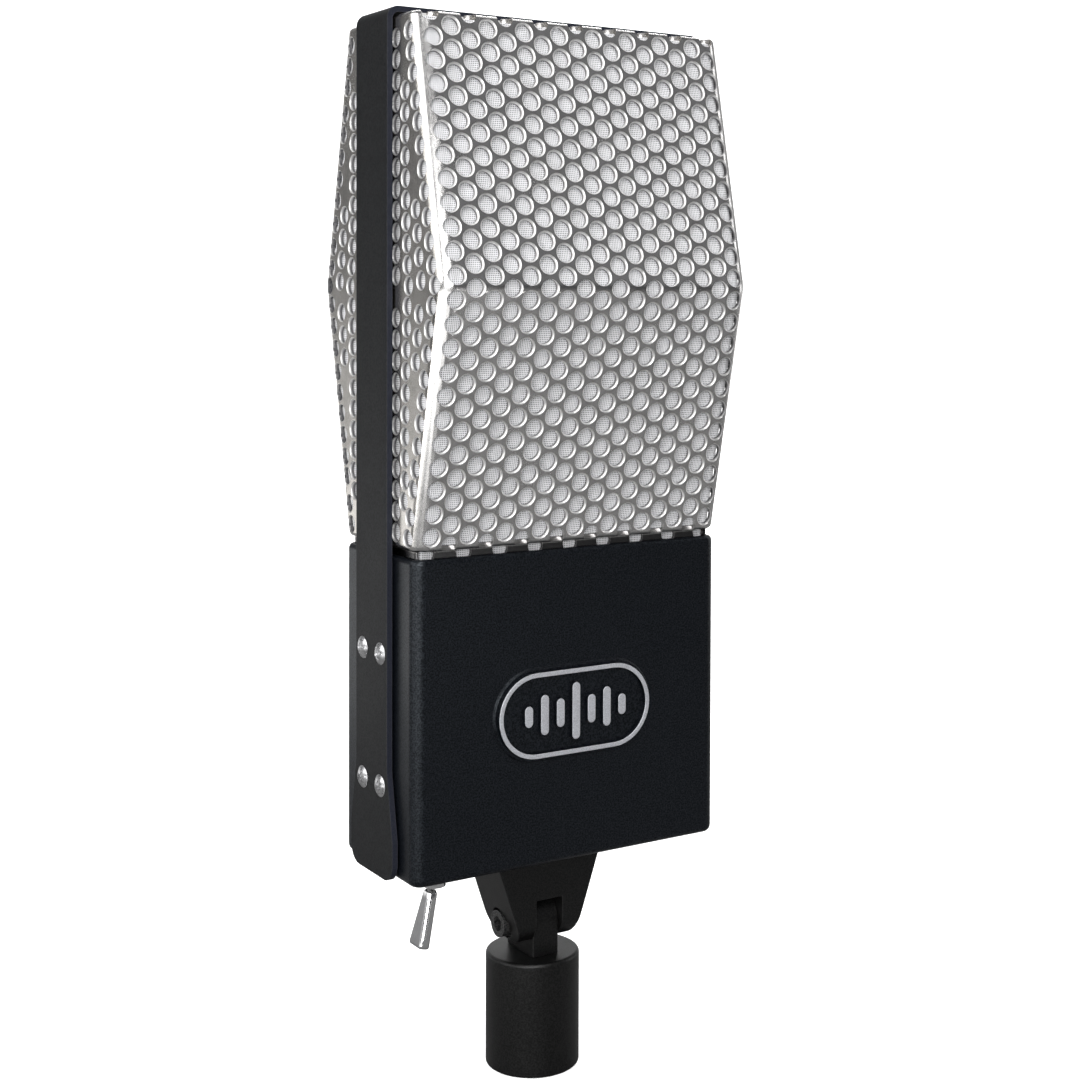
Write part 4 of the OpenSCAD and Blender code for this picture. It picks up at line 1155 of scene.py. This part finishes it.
def lever_mesh():
    """Paddle with flat faces and well rounded edges, growing out of a round neck and ball."""
    n = 40
    rings = []

    def section(hx, hy, r, z):
        pts = []
        r = min(r, hx - 0.01, hy - 0.01)
        for q, (cx, cy) in enumerate(((1, 1), (-1, 1), (-1, -1), (1, -1))):
            for i in range(n // 4):
                a = math.radians(90 * q + 90 * i / (n // 4 - 1))
                pts.append((cx * (hx - r) + r * math.cos(a), cy * (hy - r) + r * math.sin(a), z))
        return pts

    # from the tip up to the neck: half thickness along X, half width along Y
    rings.append(section(1.3, 3.1, 0.9, -LEN))
    rings.append(section(1.5, 3.36, 1.05, -LEN + 0.12))
    rings.append(section(1.61, 3.52, 1.2, -LEN + 0.4))
    rings.append(section(1.65, 3.58, 1.28, -LEN + 0.8))
    for i in range(1, 9):
        f = i / 8.0
        rings.append(section(1.65 - 0.03 * f, 3.58 - 1.63 * f, 1.28 + 0.1 * f, -LEN + 0.8 + (LEN - 5.6) * f))
    rings.append(section(1.5, 1.62, 1.42, -4.3))
    rings.append(section(1.2, 1.2, 1.19, -3.9))
    rings.append(section(1.06, 1.06, 1.05, -3.4))
    rings.append(section(1.05, 1.05, 1.04, -2.0))
    for i in range(1, 9):
        a = math.radians(-62 + 152 * i / 8)
        r = max(2.2 * math.cos(a), 0.8)
        z = 2.2 * math.sin(a)
        rings.append(section(r, r, r - 0.005, z))
    rings.append(section(0.8, 0.8, 0.79, 3.2))
    rings.append(section(0.6, 0.6, 0.59, 3.4))
    ob = ring_solid("toggle_lever", rings, M["switch_chrome"])
    rot = Matrix.Rotation(LEAN, 4, "Y")
    ob.data.transform(Matrix.Translation(Vector(SW) * MM) @ rot)
    return ob


lever = lever_mesh()
smooth(lever, 42)
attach(lever, "lever")
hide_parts("switch_lever")

# ------------------------------------------------------------------ carried CAD nodes

SOFT = dict(frame_strap=(0.3, 3), clevis=(0.35, 3), swivel_tongue=(0.25, 2), strap_screws=(0.12, 2), pivot_bolt=(0.2, 2),
            switch_nut=(0.15, 2), switch_washer=(0.12, 2), switch_bushing=(0.1, 2), clevis_screws=(0.12, 2),
            base_plate=(0.2, 2), xlr_shell=(0.2, 2), wave_washer=(0.08, 1), shoulder_screw=(0.1, 1))
for name, ob in NODES.items():
    if ob.hide_render:
        continue
    s = slot_of(name)
    mat = M.get(s, M["chassis_black"])
    ob.data.materials.clear()
    ob.data.materials.append(mat)
    w, n = SOFT.get(name, (0.0, 1))
    soften(ob, w, n)

# ------------------------------------------------------------------ stage, light and camera

FLOOR_GLOW, FLOOR_DIM = 0.62, 0.19


def stage_plane():
    """Pale sweep: a flat floor that curves up far behind."""
    pts = []
    for i in range(2):
        pts.append((-6.0 + 12.0 * i, 0.0))
    n = 24
    verts, faces = [], []
    prof = [(-7.0, 0.0), (4.0, 0.0)]
    for i in range(1, n + 1):
        a = math.radians(90 * i / n)
        prof.append((4.0 + 3.0 * math.sin(a), 3.0 - 3.0 * math.cos(a)))
    prof.append((7.0, 9.0))
    for j, x in enumerate((-9.0, 9.0)):
        for d, z in prof:
            verts.append((x, d, z))
    m = len(prof)
    for i in range(m - 1):
        faces.append((i, i + 1, m + i + 1, m + i))
    ob = mesh_obj("stage_sweep", verts, faces, None, scale=1.0)
    for p in ob.data.polygons:
        p.use_smooth = True
    ob.rotation_euler = (0, 0, math.radians(-32.9))
    t = Tree("m_stage")
    spot = t.noise(3.0, 3.0, 0.5)
    t.set(color=t.mix(t.ramp(spot, 0.3, 0.7, 0.0, 1.0), rgb(0.87, 0.87, 0.87), rgb(0.89, 0.89, 0.89)), rough=0.9, spec=0.1)
    t.bsdf.inputs["Emission Color"].default_value = (1, 1, 1, 1)
    t.bsdf.inputs["Emission Strength"].default_value = FLOOR_GLOW
    path = t.node("ShaderNodeLightPath")
    dim = t.node("ShaderNodeBsdfDiffuse")
    sep = t.node("ShaderNodeSeparateXYZ")
    t.put(sep.inputs[0], t.co)
    far = t.ramp(sep.outputs["Y"], 0.8, 2.6, 0.0, 1.0)
    t.put(dim.inputs["Color"], t.mix(far, rgb(FLOOR_DIM, FLOOR_DIM, FLOOR_DIM), rgb(0.8, 0.8, 0.8)))
    mixs = t.node("ShaderNodeMixShader")
    t.nt.links.new(path.outputs["Is Camera Ray"], mixs.inputs[0])
    t.nt.links.new(dim.outputs[0], mixs.inputs[1])
    t.nt.links.new(t.bsdf.outputs[0], mixs.inputs[2])
    t.nt.links.new(mixs.outputs[0], t.out.inputs["Surface"])
    ob.data.materials.append(t.mat)
    return ob


floor = stage_plane()

world = bpy.data.worlds.new("studio")
bpy.context.scene.world = world
world.use_nodes = True
wt = world.node_tree
wt.nodes.clear()
wo = wt.nodes.new("ShaderNodeOutputWorld")
lp = wt.nodes.new("ShaderNodeLightPath")
b1 = wt.nodes.new("ShaderNodeBackground")
b1.inputs[0].default_value = (1, 1, 1, 1)
b1.inputs[1].default_value = 1.0
b2 = wt.nodes.new("ShaderNodeBackground")
b2.inputs[0].default_value = (0.93, 0.95, 1.0, 1)
b2.inputs[1].default_value = 0.09
mx = wt.nodes.new("ShaderNodeMixShader")
wt.links.new(lp.outputs["Is Camera Ray"], mx.inputs[0])
wt.links.new(b2.outputs[0], mx.inputs[1])
wt.links.new(b1.outputs[0], mx.inputs[2])
wt.links.new(mx.outputs[0], wo.inputs["Surface"])


def area(name, loc, target, sx, sy, power, color=(1, 1, 1)):
    d = bpy.data.lights.new(name, "AREA")
    d.shape = "RECTANGLE"
    d.size, d.size_y = sx, sy
    d.energy = power
    d.color = color
    ob = bpy.data.objects.new(name, d)
    bpy.context.scene.collection.objects.link(ob)
    ob.location = loc
    v = Vector(target) - Vector(loc)
    ob.rotation_mode = "QUATERNION"
    ob.rotation_quaternion = v.to_track_quat("-Z", "Y")
    ob.visible_camera = False
    return ob


AIM = (0.0, 0.0, 0.17)
area("key_left", (-1.28, 0.12, 0.72), AIM, 1.15, 0.8, 8.5)
area("card_left", (-0.60, -0.18, 0.012), (-0.46, -0.14, 0.6), 0.7, 0.7, 3.2)
area("card_right", (0.78, -1.2, 0.78), AIM, 1.3, 1.0, 0.45)
area("fill_front", (-0.50, -1.05, 1.65), AIM, 1.1, 0.8, 17.0)
area("fill_left_low", (-0.80, -1.09, 0.44), AIM, 1.15, 0.55, 14.0)
area("card_back_low", (-0.285, 0.40, 0.06), (-0.05, 0.0, 0.12), 0.34, 0.12, 0.13)
area("card_front_low", (-0.40, -0.43, 0.012), (-0.36, -0.40, 0.6), 0.36, 0.30, 0.5)
for nm, at, az_, lx, ly, w in (("strip_front", (0.27, -0.88, 0.012), -73.0, 0.60, 0.09, 0.6), ("strip_left", (-0.85, 0.06, 0.012), 176.0, 0.5, 0.10, 0.7)):
    st = area(nm, at, (at[0], at[1], 1.0), lx, ly, w)
    st.rotation_mode = "XYZ"
    st.rotation_euler = (math.pi, 0.0, math.radians(az_))
area("rim_right", (1.3, -0.25, 0.6), AIM, 0.4, 1.2, 3.0)
area("top", (0.25, 0.1, 1.65), AIM, 1.5, 1.2, 6.0)
area("back_left", (-1.08, 1.02, 0.45), AIM, 0.45, 1.2, 0.4)
area("back_dim", (-0.72, 1.32, 0.5), AIM, 0.9, 1.2, 0.25)
area("sweep", (1.0, 1.6, 2.8), (1.8, 3.2, 1.2), 3.4, 2.4, 330.0)

cam_d = bpy.data.cameras.new("camera")
cam = bpy.data.objects.new("camera", cam_d)
bpy.context.scene.collection.objects.link(cam)
CAM = (-0.25347, -0.43025, 0.21832)
az, pi_, ro = -0.5741, 0.0241, 0.0036
fw = Vector((-math.sin(az) * math.cos(pi_), math.cos(az) * math.cos(pi_), -math.sin(pi_)))
right = Vector((math.cos(az), math.sin(az), 0))
upv = right.cross(fw)
r_ = right * math.cos(ro) + upv * math.sin(ro)
u_ = -right * math.sin(ro) + upv * math.cos(ro)
mw = Matrix(((r_.x, u_.x, -fw.x, CAM[0]), (r_.y, u_.y, -fw.y, CAM[1]), (r_.z, u_.z, -fw.z, CAM[2]), (0, 0, 0, 1)))
cam.matrix_world = mw
cam_d.sensor_width = 36.0
cam_d.lens = 58.52
cam_d.clip_start, cam_d.clip_end = 0.01, 60.0
SHIFT = (-0.0623, -0.1846)
for i, attr in enumerate(("shift_x", "shift_y")):
    dr = cam_d.driver_add(attr).driver
    dr.type = "SCRIPTED"
    for nm, path in (("x", "LOC_X"), ("y", "LOC_Y")):
        v = dr.variables.new()
        v.name = nm
        v.type = "TRANSFORMS"
        v.targets[0].id = cam
        v.targets[0].transform_type = path
        v.targets[0].transform_space = "WORLD_SPACE"
    dr.expression = "%.5f if (abs(x - (%.5f)) < 0.001 and abs(y - (%.5f)) < 0.001) else 0.0" % (SHIFT[i], CAM[0], CAM[1])
bpy.context.scene.camera = cam
bpy.context.scene.view_settings.view_transform = "Standard"
bpy.context.scene.view_settings.look = "None"
